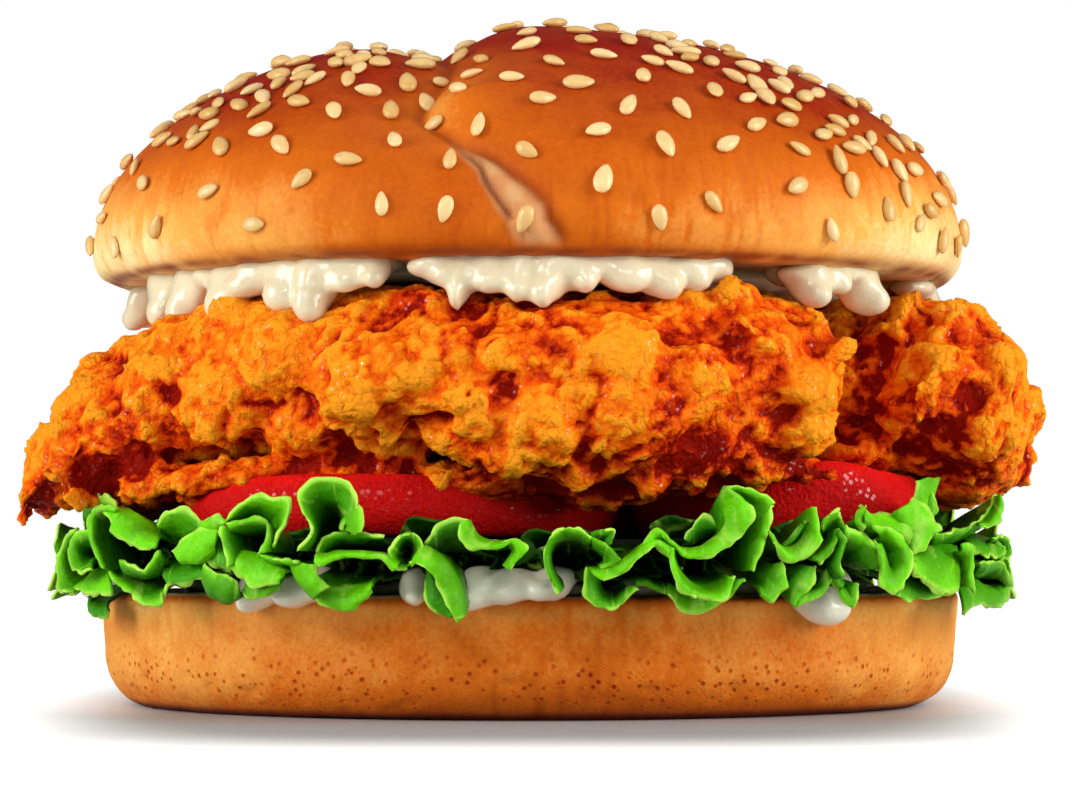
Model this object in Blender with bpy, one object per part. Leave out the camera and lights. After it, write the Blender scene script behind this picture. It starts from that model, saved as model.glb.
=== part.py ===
"""Fried chicken burger on a split-top bun, built layer by layer from the heel up.

Run with blender --background --python part.py, or from Blender's text editor.
Every size below is in millimetres or degrees, and MM turns a finished mesh into metres.
The bun stands on Z = 0 around the Z axis. Its front faces -Y, and bearings run
anticlockwise from +X as seen from above, so the front is at a bearing of 270 degrees.
"""

import math

import bmesh
import bpy
from mathutils import Matrix, Vector, noise
from mathutils.kdtree import KDTree

MM = 0.001
CLEARANCE = 0.35

# Heel: the lower half of the bun.
HEEL_BASE_RADIUS = 44.3
HEEL_CORNER = (5.5, 6.0)
HEEL_TOP_RADIUS = 50.2
HEEL_CUT_EDGE = 0.9
HEEL_HEIGHT = 13.0
HEEL_STEPS = 48

# Crown: the upper half of the bun, a dome of two lobes with one crease between them.
CROWN_UNDERSIDE = 48.4
CROWN_EQUATOR = 52.0
CROWN_RADIUS = 51.5
CROWN_LIP = 3.9
CROWN_RISE = 27.5
CROWN_FULLNESS = 2.1
CROWN_STEPS = 60
CROWN_ROWS = 10
CREASE_DEPTH = 2.7
CREASE_RIM_DEPTH = 0.7
CREASE_STEEP_SIDE = 4.5
CREASE_GENTLE_SIDE = 7.5
OVERLAP_SWELL = 0.7
# The crease as (bearing, climb), where climb is 0 at the equator and 90 at the top.
CREASE = (
    (272.5, -50), (270, -4), (266.5, 5), (262.5, 11), (258, 19), (254.5, 28), (254.5, 36),
    (255.5, 43), (254, 53), (250, 64), (232, 76), (170, 82), (115, 75), (98, 62), (90, 50),
    (86, 35), (84, 18), (83, 3), (82, -50),
)

# Fried chicken: two fillets side by side, the large one in front and to the left.
CHICKEN_TOP = 47.0
CHICKEN_SEAT = 26.7
CHICKEN_SAG = 4.0
CHICKEN_SAG_WIDTH = 7.0
CHICKEN_TONGUE_SAG = 2.3
CHICKEN_CORNER = 9.5
CRAG_DEPTH = 2.0
CRAG_SIZE = 9.0
# Reach of the large fillet from the bun's axis, every 15 degrees of bearing.
LARGE_REACH = (
    31.0, 32.0, 35.0, 39.5, 43.0, 45.5, 47.0, 48.0, 48.5, 48.5, 50.5, 54.5,
    59.5, 62.0, 56.0, 51.0, 50.5, 50.5, 51.0, 52.0, 52.5, 48.0, 36.5, 32.0,
)
LARGE_STEPS = 52
LARGE_ROWS = 16
SMALL_CENTRE = (46.4, 3.0)
SMALL_HALF = (13.8, 33.5)
SMALL_SQUARENESS = 2.5
SMALL_STEPS = 34
SMALL_ROWS = 12

# Tomato: three slices as (name, centre x, centre y, radius, tilt about X).
TOMATO_SEAT = 19.2
TOMATO_THICKNESS = 5.9
TOMATO_STEPS = 30
TOMATOES = (
    ("tomato_left", -17.0, -19.0, 23.5, 0.0),
    ("tomato_middle", 7.0, 15.5, 17.0, 0.0),
    ("tomato_right", 27.5, -17.5, 17.0, 1.0),
)

# Lettuce: one leaf layer, flat under the filling and frilled all round the edge.
LETTUCE_SEAT = 15.9
LETTUCE_THICKNESS = 1.0
LETTUCE_RIM = 54.8
LETTUCE_FLAT = 46.2
LETTUCE_LIFT = 4.6
LETTUCE_DROP = 4.6
LETTUCE_FOLDS = 17
LETTUCE_STEPS = 102
LETTUCE_RINGS = (0.0, 27.0, 46.2, 49.0, 51.3, 53.2, 54.8)
LETTUCE_REACH_CHANGE = 1.6
LETTUCE_DROP_START = 51.4

# Mayonnaise: a thin layer on each cut face, with blobs as (bearing, spread, drop).
UPPER_SAUCE_REACH = 43.5
UPPER_SAUCE_REST = 50.0
UPPER_SAUCE_SWELL = 1.0
UPPER_SAUCE_OVERHANG = 2.4
UPPER_SAUCE_STEPS = 72
UPPER_BLOBS = (
    (208, 5.0, 5.8), (218, 4.5, 5.2), (228.5, 5.0, 5.6), (241, 5.5, 5.8), (250, 4.5, 3.4),
    (262, 4.5, 4.8), (272, 6.0, 3.8), (286, 7.0, 2.8), (310, 5.0, 3.2), (321, 4.5, 3.2),
    (352, 7.0, 2.6), (28, 6.0, 3.4), (62, 7.0, 3.0), (88, 5.0, 4.2), (118, 7.0, 3.2),
    (146, 5.0, 4.4), (170, 6.0, 3.0),
)
LOWER_SAUCE_SEAT = HEEL_HEIGHT + CLEARANCE
LOWER_SAUCE_THICKNESS = 1.2
LOWER_SAUCE_REACH = 44.5
LOWER_SAUCE_FILM = 0.9
LOWER_SAUCE_STEPS = 72
LOWER_BLOBS = (
    (196, 6.0, 2.4), (240, 6.0, 2.8), (258, 6.0, 2.2), (268, 5.5, 2.4), (310, 5.0, 6.0),
    (20, 6.0, 2.4), (78, 7.0, 3.0), (132, 6.0, 2.2),
)

# Plain colours: (red, green, blue), roughness.
CRUST_COLOUR = ((0.62, 0.27, 0.07), 0.45)
HEEL_COLOUR = ((0.66, 0.34, 0.12), 0.6)
CHICKEN_COLOUR = ((0.72, 0.26, 0.02), 0.4)
TOMATO_COLOUR = ((0.60, 0.02, 0.01), 0.25)
LETTUCE_COLOUR = ((0.10, 0.38, 0.02), 0.4)
SAUCE_COLOUR = ((0.87, 0.83, 0.68), 0.25)


def clear_scene():
    """Removes the objects that a new file holds."""
    for item in list(bpy.data.objects):
        bpy.data.objects.remove(item, do_unlink=True)


def smooth(value):
    """Eases from 0 to 1 as value goes from 0 to 1."""
    value = min(max(value, 0.0), 1.0)
    return value * value * (3.0 - 2.0 * value)


def turn_between(bearing, other):
    """Smallest turn from one bearing to another, in degrees."""
    return (bearing - other + 180.0) % 360.0 - 180.0


def bearing_of(x, y):
    """Bearing of a point seen from the axis, from 0 to 360 degrees."""
    return math.degrees(math.atan2(y, x)) % 360.0


def on_bearing(bearing, radius, height):
    """Point at a bearing, a distance from the axis and a height."""
    angle = math.radians(bearing)
    return Vector((radius * math.cos(angle), radius * math.sin(angle), height))


def around(values, bearing):
    """Reads evenly spaced values round the compass through one smooth closed curve."""
    place = bearing % 360.0 / 360.0 * len(values)
    first = int(place)
    t = place - first
    a, b, c, d = (values[(first + i) % len(values)] for i in (-1, 0, 1, 2))
    return b + 0.5 * t * (c - a + t * (2 * a - 5 * b + 4 * c - d + t * (3 * (b - c) + d - a)))


def arc(centre_r, centre_z, half_r, half_z, start, end, count):
    """Points of an elliptical arc in a profile, from start to end degrees."""
    angles = [math.radians(start + (end - start) * i / count) for i in range(count + 1)]
    return [(centre_r + half_r * math.cos(a), centre_z + half_z * math.sin(a)) for a in angles]


def turned(profile, steps):
    """Spins a profile of (radius, height) points round Z into one closed body."""
    bm = bmesh.new()
    verts = [bm.verts.new((radius, 0.0, height)) for radius, height in profile]
    edges = [bm.edges.new(pair) for pair in zip(verts, verts[1:])]
    bmesh.ops.spin(bm, geom=verts + edges, cent=(0, 0, 0), axis=(0, 0, 1),
                   angle=math.tau, steps=steps, use_merge=True)
    bmesh.ops.remove_doubles(bm, verts=bm.verts, dist=0.0001)
    return bm


def reshape(bm, rule):
    """Moves every point of a mesh to where the rule puts it."""
    for vert in bm.verts:
        vert.co = rule(vert.co)


def make_material(name, colour, roughness):
    """Makes a Principled material of one colour."""
    material = bpy.data.materials.new(name)
    material.use_nodes = True
    shader = material.node_tree.nodes["Principled BSDF"]
    shader.inputs["Base Color"].default_value = (*colour, 1.0)
    shader.inputs["Roughness"].default_value = roughness
    shader.inputs["Metallic"].default_value = 0.0
    return material


def add_piece(name, bm, look):
    """Turns a mesh in millimetres into a named, smooth-shaded object in metres."""
    bmesh.ops.recalc_face_normals(bm, faces=bm.faces)
    bm.transform(Matrix.Scale(MM, 4))
    mesh = bpy.data.meshes.new(name)
    bm.to_mesh(mesh)
    bm.free()
    mesh.shade_smooth()
    mesh.set_sharp_from_angle(angle=math.radians(50))
    mesh.materials.append(make_material(name, *look))
    piece = bpy.data.objects.new(name, mesh)
    bpy.context.scene.collection.objects.link(piece)
    return piece


# ---------------------------------------------------------------- bun

def build_heel():
    """Makes the heel: a flat base, a rounded lower corner and a flat cut face."""
    corner_r, corner_z = HEEL_CORNER
    profile = [(0.0, 0.0)]
    profile += arc(HEEL_BASE_RADIUS, corner_z, corner_r, corner_z, -90, 0, 4)
    profile += arc(HEEL_TOP_RADIUS - HEEL_CUT_EDGE, HEEL_HEIGHT - HEEL_CUT_EDGE,
                   HEEL_CUT_EDGE, HEEL_CUT_EDGE, 0, 90, 2)
    profile.append((0.0, HEEL_HEIGHT))
    add_piece("bun_heel", turned(profile, HEEL_STEPS), HEEL_COLOUR)


def dome_point(bearing, climb):
    """Point of the smooth dome. A climb below 0 runs round the lip under the equator."""
    angle = math.radians(climb)
    if climb < 0:
        radius = CROWN_RADIUS - CROWN_LIP + CROWN_LIP * math.cos(angle)
        drop = (CROWN_EQUATOR - CROWN_UNDERSIDE) * math.sin(angle)
        return on_bearing(bearing, radius, CROWN_EQUATOR + drop)
    power = 2.0 / CROWN_FULLNESS
    radius = CROWN_RADIUS * max(0.0, math.cos(angle)) ** power
    return on_bearing(bearing, radius, CROWN_EQUATOR + CROWN_RISE * math.sin(angle) ** power)


def crease_line(steps_between=6):
    """Points along the crease, and a tree that finds the nearest of them."""
    ends = [dome_point(bearing, climb) for bearing, climb in CREASE]
    points = []
    for start, end in zip(ends, ends[1:]):
        points += [start.lerp(end, step / steps_between) for step in range(steps_between)]
    points.append(ends[-1])
    tree = KDTree(len(points))
    for index, point in enumerate(points):
        tree.insert(point, index)
    tree.balance()
    return points, tree


def crease_offset(point, points, tree):
    """How far the crease lifts or sinks the dome at a point.

    The lobe to the right of the crease laps over the other one, so the dome falls
    steeply on its side and gently on the left one.
    """
    nearest, index, distance = tree.find(point)
    before = points[max(index - 1, 0)]
    after = points[min(index + 1, len(points) - 1)]
    side = (after - before).cross(point - nearest).dot(point)
    depth = CREASE_RIM_DEPTH
    depth += (CREASE_DEPTH - CREASE_RIM_DEPTH) * smooth((nearest.z - CROWN_EQUATOR) / 14.0)
    if side < 0:
        swell = OVERLAP_SWELL * math.exp(-((distance - 11.0) / 8.0) ** 2)
        return swell - depth * math.exp(-(distance / CREASE_STEEP_SIDE) ** 2)
    return -depth * math.exp(-(distance / CREASE_GENTLE_SIDE) ** 2)


def build_crown():
    """Makes the crown: a flat cut face, a rounded lip and the creased dome."""
    lip_rise = CROWN_EQUATOR - CROWN_UNDERSIDE
    profile = [(0.0, CROWN_UNDERSIDE)]
    profile += arc(CROWN_RADIUS - CROWN_LIP, CROWN_EQUATOR, CROWN_LIP, lip_rise, -90, 0, 3)
    for row in range(1, CROWN_ROWS + 1):
        point = dome_point(0.0, 90.0 * row / CROWN_ROWS)
        profile.append((point.x, point.z))
    points, tree = crease_line()
    centre = Vector((0.0, 0.0, CROWN_EQUATOR))

    def rule(point):
        """Sinks the dome along the crease and leaves the cut face flat."""
        if point.z < CROWN_UNDERSIDE + 0.1:
            return point
        offset = crease_offset(point, points, tree)
        return point + (point - centre).normalized() * offset

    bm = turned(profile, CROWN_STEPS)
    reshape(bm, rule)
    add_piece("bun_crown", bm, CRUST_COLOUR)


# ---------------------------------------------------------------- fried chicken

def chicken_top(x):
    """Height of the fillets' upper side. It slopes away where they leave the bun."""
    left = max(0.0, -34.0 - x)
    right = max(0.0, x - 47.0)
    return CHICKEN_TOP - 0.035 * left * left - 0.05 * right * right


def chicken_seat(x, y):
    """Height of the fillets' underside. It sags beside the tomato, most at the left end."""
    beside = min(math.hypot(x - slice_x, y - slice_y) - radius
                 for _name, slice_x, slice_y, radius, _tilt in TOMATOES)
    sag = CHICKEN_SAG * smooth(beside / CHICKEN_SAG_WIDTH)
    tongue = CHICKEN_TONGUE_SAG * smooth((-x - 55.5) / 3.0)
    return CHICKEN_SEAT - sag - tongue


def small_reach(bearing):
    """Reach of the small fillet's oblong outline from its own centre."""
    angle = math.radians(bearing)
    part_x = abs(math.cos(angle)) / SMALL_HALF[0]
    part_y = abs(math.sin(angle)) / SMALL_HALF[1]
    total = part_x ** SMALL_SQUARENESS + part_y ** SMALL_SQUARENESS
    return total ** (-1.0 / SMALL_SQUARENESS)


def large_reach(bearing):
    """Reach of the large fillet's outline from the bun's axis."""
    return around(LARGE_REACH, bearing)


def edge_angle(latitude):
    """Angle round a fillet's edge: its outer half of latitudes make the round edge."""
    return max(-90.0, min(90.0, latitude * 2.0))


def fillet_rule(centre, reach):
    """Rule that turns a unit ball into a craggy fillet with a round edge."""
    def rule(point):
        """Places one point of the ball on the fillet."""
        latitude = math.degrees(math.asin(max(-1.0, min(1.0, point.z))))
        bearing = bearing_of(point.x, point.y)
        outer = reach(bearing)
        turn = math.radians(edge_angle(latitude))
        radius = outer - CHICKEN_CORNER * (1.0 - math.cos(turn))
        if abs(latitude) > 45.0:
            radius *= (90.0 - abs(latitude)) / 45.0
        flat = on_bearing(bearing, radius, 0.0)
        x = centre[0] + flat.x
        y = centre[1] + flat.y
        top = chicken_top(x)
        seat = chicken_seat(x, y)
        half = (top - seat) / 2.0
        place = Vector((x, y, seat + half + half * math.sin(turn)))
        rough = 0.5 + 0.5 * noise.noise(place / CRAG_SIZE)
        rough += 0.25 + 0.25 * noise.noise(place / CRAG_SIZE * 2.1)
        inward = flat.normalized() * math.cos(turn) + Vector((0.0, 0.0, math.sin(turn)))
        return place - inward * CRAG_DEPTH * rough
    return rule


def build_fillet(name, centre, reach, steps, rows):
    """Makes one fillet from a ball."""
    bm = bmesh.new()
    bmesh.ops.create_uvsphere(bm, u_segments=steps, v_segments=rows, radius=1.0)
    reshape(bm, fillet_rule(centre, reach))
    add_piece(name, bm, CHICKEN_COLOUR)


def chicken_shoulder(bearing):
    """Outline of both fillets together, seen from the bun's axis."""
    reach = large_reach(bearing)
    radius = reach
    while radius < 62.0:
        point = on_bearing(bearing, radius, 0.0)
        across = point - Vector((*SMALL_CENTRE, 0.0))
        if across.length < small_reach(bearing_of(across.x, across.y)):
            reach = radius
        radius += 0.5
    return reach


def bottom_over_chicken(bearing, radius, edge):
    """Height just clear of the fillets' upper side, down their round edge."""
    place = on_bearing(bearing, radius, 0.0)
    top = chicken_top(place.x)
    seat = chicken_seat(place.x, place.y)
    part = max(0.0, min(1.0, (radius - edge + CHICKEN_CORNER) / CHICKEN_CORNER))
    return (top + seat) / 2.0 + (top - seat) / 2.0 * math.sqrt(1.0 - part * part) + CLEARANCE


# ---------------------------------------------------------------- tomato

def build_tomato(name, x, y, radius, tilt):
    """Makes one slice: flat faces, a rounded skin edge and a slightly lobed outline."""
    half = TOMATO_THICKNESS / 2.0
    profile = [(0.0, -half)] + arc(radius - 2.0, 0.0, 2.0, half, -90, 90, 4) + [(0.0, half)]
    bm = turned(profile, TOMATO_STEPS)
    place = Matrix.Translation((x, y, TOMATO_SEAT + half)) @ Matrix.Rotation(math.radians(-tilt), 4, "X")

    def rule(point):
        """Gives the outline three soft lobes and lays the slice in place."""
        lobes = 1.0 - 0.012 * (1.0 + math.cos(3.0 * math.atan2(point.y, point.x) + x))
        return place @ Vector((point.x * lobes, point.y * lobes, point.z))

    reshape(bm, rule)
    add_piece(name, bm, TOMATO_COLOUR)


# ---------------------------------------------------------------- lettuce

def fold_phase(bearing):
    """Phase of the frill at a bearing. The folds are uneven: some narrow, some wide."""
    turn = math.radians(bearing)
    uneven = 1.1 * math.sin(3.0 * turn + 0.7) + 0.7 * math.sin(5.0 * turn + 2.0)
    return LETTUCE_FOLDS * turn + uneven


def build_lettuce():
    """Makes the leaf layer: a flat sheet whose rim frills up and down, then thickened."""
    def rule(point):
        """Frills the sheet more and more towards its rim."""
        radius = math.hypot(point.x, point.y)
        if radius < 0.1:
            return Vector((0.0, 0.0, LETTUCE_SEAT))
        bearing = bearing_of(point.x, point.y)
        phase = fold_phase(bearing)
        wave = math.sin(phase)
        frill = smooth((radius - LETTUCE_FLAT) / (LETTUCE_RIM - LETTUCE_FLAT))
        late_frill = smooth((radius - LETTUCE_DROP_START) / (LETTUCE_RIM - LETTUCE_DROP_START))
        height = LETTUCE_SEAT + 0.4 * frill
        if wave > 0:
            height += LETTUCE_LIFT * frill * wave
        else:
            height += LETTUCE_DROP * late_frill * wave
        lean = 0.3 * 360.0 / LETTUCE_FOLDS / math.tau * math.sin(2.0 * phase) * frill
        reach = radius + LETTUCE_REACH_CHANGE * frill * (0.5 + 0.5 * math.sin(1.5 * phase + 1.0))
        return on_bearing(bearing - lean, reach, height)

    bm = turned([(radius, 0.0) for radius in LETTUCE_RINGS], LETTUCE_STEPS)
    reshape(bm, rule)
    leaf = add_piece("lettuce", bm, LETTUCE_COLOUR)
    wall = leaf.modifiers.new("leaf_thickness", "SOLIDIFY")
    wall.thickness = LETTUCE_THICKNESS * MM
    wall.offset = 0.0


# ---------------------------------------------------------------- mayonnaise

def blob_drop(blobs, bearing):
    """How far the nearest blobs hang down at a bearing."""
    return max(drop * math.exp(-(turn_between(bearing, middle) / spread) ** 2)
               for middle, spread, drop in blobs)


def wrap_profile(bm, profile_at, steps):
    """Sets each spoke of a turned blank to the profile that belongs to its bearing."""
    profiles = {}

    def rule(point):
        """Reads the point's number along the profile from its height."""
        row = round(point.z)
        bearing = bearing_of(point.x, point.y)
        spoke = round(bearing / 360.0 * steps) % steps
        if spoke not in profiles:
            profiles[spoke] = profile_at(360.0 * spoke / steps)
        radius, height = profiles[spoke][row]
        return on_bearing(360.0 * spoke / steps, radius, height)

    reshape(bm, rule)


def sauce_blank(rows, steps):
    """Turned blank whose points carry their number along the profile as height."""
    profile = [(0.0, 0.0)] + [(1.0, float(row)) for row in range(1, rows - 1)] + [(0.0, rows - 1.0)]
    return turned(profile, steps)


def upper_sauce_profile(bearing):
    """Section of the sauce under the crown: it lies on the chicken and hangs over its edge."""
    bottom = CHICKEN_TOP + CLEARANCE
    top = CROWN_UNDERSIDE - CLEARANCE
    edge = chicken_shoulder(bearing)
    drop = blob_drop(UPPER_BLOBS, bearing)
    start = min(edge - CHICKEN_CORNER, 40.0)
    rest = start + 1.5
    while rest < UPPER_SAUCE_REST and bottom_over_chicken(bearing, rest, edge) > bottom - drop:
        rest += 0.1
    contact = [start + (rest - start) * part for part in (0.35, 0.7, 1.0)]
    inner = [(radius, bottom_over_chicken(bearing, radius, edge)) for radius in contact]
    lowest = inner[-1][1]
    swell = UPPER_SAUCE_OVERHANG * smooth((top - lowest) / 3.5)
    outer = max(rest + UPPER_SAUCE_SWELL + swell, UPPER_SAUCE_REACH)
    return [(0.0, bottom), (start, bottom)] + inner + [
        (0.5 * (rest + outer), lowest - 0.2 * smooth(drop / 2.0)),
        (outer, lowest + 0.30 * (top - lowest)),
        (outer - 0.3, top - 0.25 * (top - lowest)),
        (outer - 0.9, top),
        (0.0, top),
    ]


def lower_sauce_profile(bearing):
    """Section of the sauce on the heel: a thin layer that runs over the edge in blobs."""
    bottom = LOWER_SAUCE_SEAT
    top = bottom + LOWER_SAUCE_THICKNESS
    near_blob = max(math.exp(-(turn_between(bearing, middle) / (2.4 * spread)) ** 2)
                    for middle, spread, _drop in LOWER_BLOBS)
    over = smooth(2.2 * near_blob)
    drop = max(0.0, blob_drop(LOWER_BLOBS, bearing) - 0.1)
    lip = LOWER_SAUCE_REACH + (HEEL_TOP_RADIUS + CLEARANCE - LOWER_SAUCE_REACH) * over
    return [
        (0.0, bottom),
        (lip - 2.0, bottom),
        (lip, bottom),
        (lip, bottom - drop),
        (lip + LOWER_SAUCE_FILM, bottom - 0.85 * drop + 0.2),
        (lip + LOWER_SAUCE_FILM, bottom + 0.5),
        (lip - 0.2, top),
        (0.0, top),
    ]


def build_sauce(name, profile_at, steps):
    """Makes one sauce layer from the sections that profile_at gives."""
    rows = len(profile_at(0.0))
    bm = sauce_blank(rows, steps)
    wrap_profile(bm, profile_at, steps)
    add_piece(name, bm, SAUCE_COLOUR)


# ---------------------------------------------------------------- whole

def stand_on_origin():
    """Moves the meshes so that the middle of the whole base lies at the origin."""
    view = bpy.context.view_layer
    view.update()
    shapes = bpy.context.evaluated_depsgraph_get()
    corners = [Vector(corner) for item in bpy.data.objects
               for corner in item.evaluated_get(shapes).bound_box]
    low = [min(corner[axis] for corner in corners) for axis in range(3)]
    high = [max(corner[axis] for corner in corners) for axis in range(3)]
    shift = Matrix.Translation((-(low[0] + high[0]) / 2, -(low[1] + high[1]) / 2, -low[2]))
    for item in bpy.data.objects:
        item.data.transform(shift)


def build_burger():
    """Builds every layer from the plate up."""
    build_heel()
    build_sauce("sauce_lower", lower_sauce_profile, LOWER_SAUCE_STEPS)
    build_lettuce()
    for name, x, y, radius, tilt in TOMATOES:
        build_tomato(name, x, y, radius, tilt)
    build_fillet("chicken_large", (0.0, 0.0), large_reach, LARGE_STEPS, LARGE_ROWS)
    build_fillet("chicken_small", SMALL_CENTRE, small_reach, SMALL_STEPS, SMALL_ROWS)
    build_sauce("sauce_upper", upper_sauce_profile, UPPER_SAUCE_STEPS)
    build_crown()
    stand_on_origin()


clear_scene()
build_burger()
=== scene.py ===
"""Looks of a fried chicken burger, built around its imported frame.

The burger is modelled in millimetres around the bun's axis, with its front towards -Y, and
bearings run anticlockwise from +X as seen from above. to_frame() turns millimetres into the
frame's metres as the last step of each piece.
"""

import itertools
import math

import bmesh
import bpy
import numpy as np
from bpy.props import FloatProperty, FloatVectorProperty, IntProperty, PointerProperty
from mathutils import Matrix, Vector
from mathutils.bvhtree import BVHTree
from mathutils.kdtree import KDTree


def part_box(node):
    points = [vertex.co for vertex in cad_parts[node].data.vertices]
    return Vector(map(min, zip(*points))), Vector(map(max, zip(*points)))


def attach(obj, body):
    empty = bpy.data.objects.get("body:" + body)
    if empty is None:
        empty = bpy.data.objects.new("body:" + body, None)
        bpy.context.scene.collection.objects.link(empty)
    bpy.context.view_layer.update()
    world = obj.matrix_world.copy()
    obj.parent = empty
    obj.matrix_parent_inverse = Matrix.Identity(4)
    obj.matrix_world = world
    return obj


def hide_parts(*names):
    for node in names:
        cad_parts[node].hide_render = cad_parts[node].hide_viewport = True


bl_info = {
    "name": "Chicken burger",
    "version": (1, 0, 0),
    "blender": (4, 5, 0),
    "location": "3D View > Sidebar > Burger",
    "description": "Builds a fried chicken burger around its packed frame",
    "category": "Add Mesh",
}

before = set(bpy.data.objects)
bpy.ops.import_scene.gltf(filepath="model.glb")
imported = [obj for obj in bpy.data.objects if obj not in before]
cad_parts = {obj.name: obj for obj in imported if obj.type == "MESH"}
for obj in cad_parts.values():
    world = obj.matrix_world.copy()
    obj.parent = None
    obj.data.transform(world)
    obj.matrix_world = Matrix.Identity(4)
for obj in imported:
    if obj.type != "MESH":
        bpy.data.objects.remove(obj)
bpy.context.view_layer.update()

MM = 0.001
# Bearing of the front, in degrees.
FRONT = 270.0
# Closest distance at which two points of a spun shape stay apart, in mm.
DOUBLES = 0.0001


def node_box_mm(node):
    """Lowest and highest corner of a frame node, in millimetres."""
    low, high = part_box(node)
    return np.array(low) / MM, np.array(high) / MM


# Room left inside the frame's boxes for the swells of the crust, in mm.
HEEL_SWELL = 0.5
CROWN_SWELL = 0.9
HEEL_LOW, HEEL_HIGH = node_box_mm("bun_heel")
CROWN_LOW, CROWN_HIGH = node_box_mm("bun_crown")
BUN_AXIS = (HEEL_LOW[:2] + HEEL_HIGH[:2]) / 2.0
HEEL_RADIUS = float(HEEL_HIGH[0] - HEEL_LOW[0]) / 2.0 - HEEL_SWELL
HEEL_HEIGHT = float(HEEL_HIGH[2])
CROWN_UNDERSIDE = float(CROWN_LOW[2])
CROWN_RADIUS = float(CROWN_HIGH[0] - CROWN_LOW[0]) / 2.0 - CROWN_SWELL
CROWN_TOP = float(CROWN_HIGH[2])


# ---------------------------------------------------------------- numbers

def smooth(value):
    """Eases from 0 to 1 as value goes from 0 to 1."""
    value = np.clip(value, 0.0, 1.0)
    return value * value * (3.0 - 2.0 * value)


def bell(value, width):
    """Falls from 1 at a value of 0 to nearly 0 at two widths."""
    return np.exp(-(np.asarray(value) / width) ** 2)


def bearings_of(points):
    """Bearings of points seen from the bun's axis, from 0 to 360 degrees."""
    return np.degrees(np.arctan2(points[:, 1], points[:, 0])) % 360.0


def radii_of(points):
    """Distances of points from the bun's axis."""
    return np.hypot(points[:, 0], points[:, 1])


def on_bearing(bearing, radius, height):
    """Point at a bearing, a distance from the axis and a height."""
    angle = math.radians(bearing)
    return Vector((radius * math.cos(angle), radius * math.sin(angle), height))


def scramble(corners, seed):
    """Mixes whole-number corners into even random numbers from 0 to 1."""
    mixed = corners[..., 0] * 374761393 + corners[..., 1] * 668265263
    mixed = (mixed + corners[..., 2] * 1442695041 + seed * 974634777) & 0xFFFFFFFF
    mixed = mixed.astype(np.uint64)
    for multiplier, shift in ((1274126177, 13), (2246822519, 16)):
        mixed ^= mixed >> np.uint64(shift)
        mixed = (mixed * np.uint64(multiplier)) & np.uint64(0xFFFFFFFF)
    mixed ^= mixed >> np.uint64(15)
    return mixed / 4294967296.0


def lumps(points, size, seed):
    """Smooth noise from -1 to 1 whose lumps are about one size across."""
    place = points / size
    base = np.floor(place).astype(np.int64)
    part = place - base
    ease = part ** 3 * (part * (part * 6.0 - 15.0) + 10.0)
    total = np.zeros(len(points))
    for step in itertools.product((0, 1), repeat=3):
        step = np.array(step)
        weight = np.prod(np.where(step == 1, ease, 1.0 - ease), axis=1)
        total += weight * scramble(base + step, seed)
    return 2.0 * total - 1.0


def rough(points, size, octaves, seed, keep=0.5):
    """Sum of lumps of ever smaller size, from about -1 to 1."""
    total = np.zeros(len(points))
    strength = 1.0
    reach = 0.0
    for octave in range(octaves):
        total += strength * lumps(points + 17.3 * octave, size / 2.03 ** octave, seed + octave)
        reach += strength
        strength *= keep
    return total / reach


def cobbles(points, size, seed):
    """Round-topped knobs packed side by side: 1 on top of the tallest, 0 in the gaps."""
    place = points / size
    base = np.floor(place).astype(np.int64)
    nearest = np.full(len(points), 9.0)
    tag = np.zeros(len(points))
    for step in itertools.product((-1, 0, 1), repeat=3):
        corner = base + np.array(step)
        centre = corner + np.stack([scramble(corner, seed + axis) for axis in range(3)], axis=-1)
        distance = np.linalg.norm(place - centre, axis=1)
        closer = distance < nearest
        tag = np.where(closer, scramble(corner, seed + 3), tag)
        nearest = np.minimum(nearest, distance)
    return np.clip(1.0 - (nearest / 0.85) ** 2, 0.0, 1.0) * (0.35 + 0.65 * tag)


def warped(points, size, shift, seed):
    """Points pushed about by soft noise, which makes a pattern on them less regular."""
    pushes = [lumps(points, size, seed + 31 * axis) for axis in range(3)]
    return points + shift * np.stack(pushes, axis=-1)


def curve_through(values, count):
    """Evenly stepped points of a smooth open curve through all the values."""
    values = np.array(values, float)
    padded = np.vstack([2 * values[0] - values[1], values, 2 * values[-1] - values[-2]])
    place = np.linspace(0.0, len(values) - 1.0, count)
    first = np.minimum(place.astype(int), len(values) - 2)
    t = (place - first)[:, None]
    a, b, c, d = (padded[first + i] for i in range(4))
    return b + 0.5 * t * (c - a + t * (2 * a - 5 * b + 4 * c - d + t * (3 * (b - c) + d - a)))


# ---------------------------------------------------------------- meshes

def read_points(mesh):
    """All points of a mesh as an array."""
    points = np.empty(len(mesh.vertices) * 3)
    mesh.vertices.foreach_get("co", points)
    return points.reshape(-1, 3)


def write_points(mesh, points):
    """Moves the points of a mesh."""
    mesh.vertices.foreach_set("co", np.ascontiguousarray(points, float).ravel())
    mesh.update()


def read_normals(mesh):
    """Outward directions at all points of a mesh."""
    normals = np.empty(len(mesh.vertices) * 3, np.float32)
    mesh.vertices.foreach_get("normal", normals)
    return normals.reshape(-1, 3).astype(float)


def paint(mesh, name, values):
    """Stores one number for each point, which a material reads by name."""
    layer = mesh.attributes.new(name, "FLOAT", "POINT")
    layer.data.foreach_set("value", np.ascontiguousarray(values, np.float32))


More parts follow.
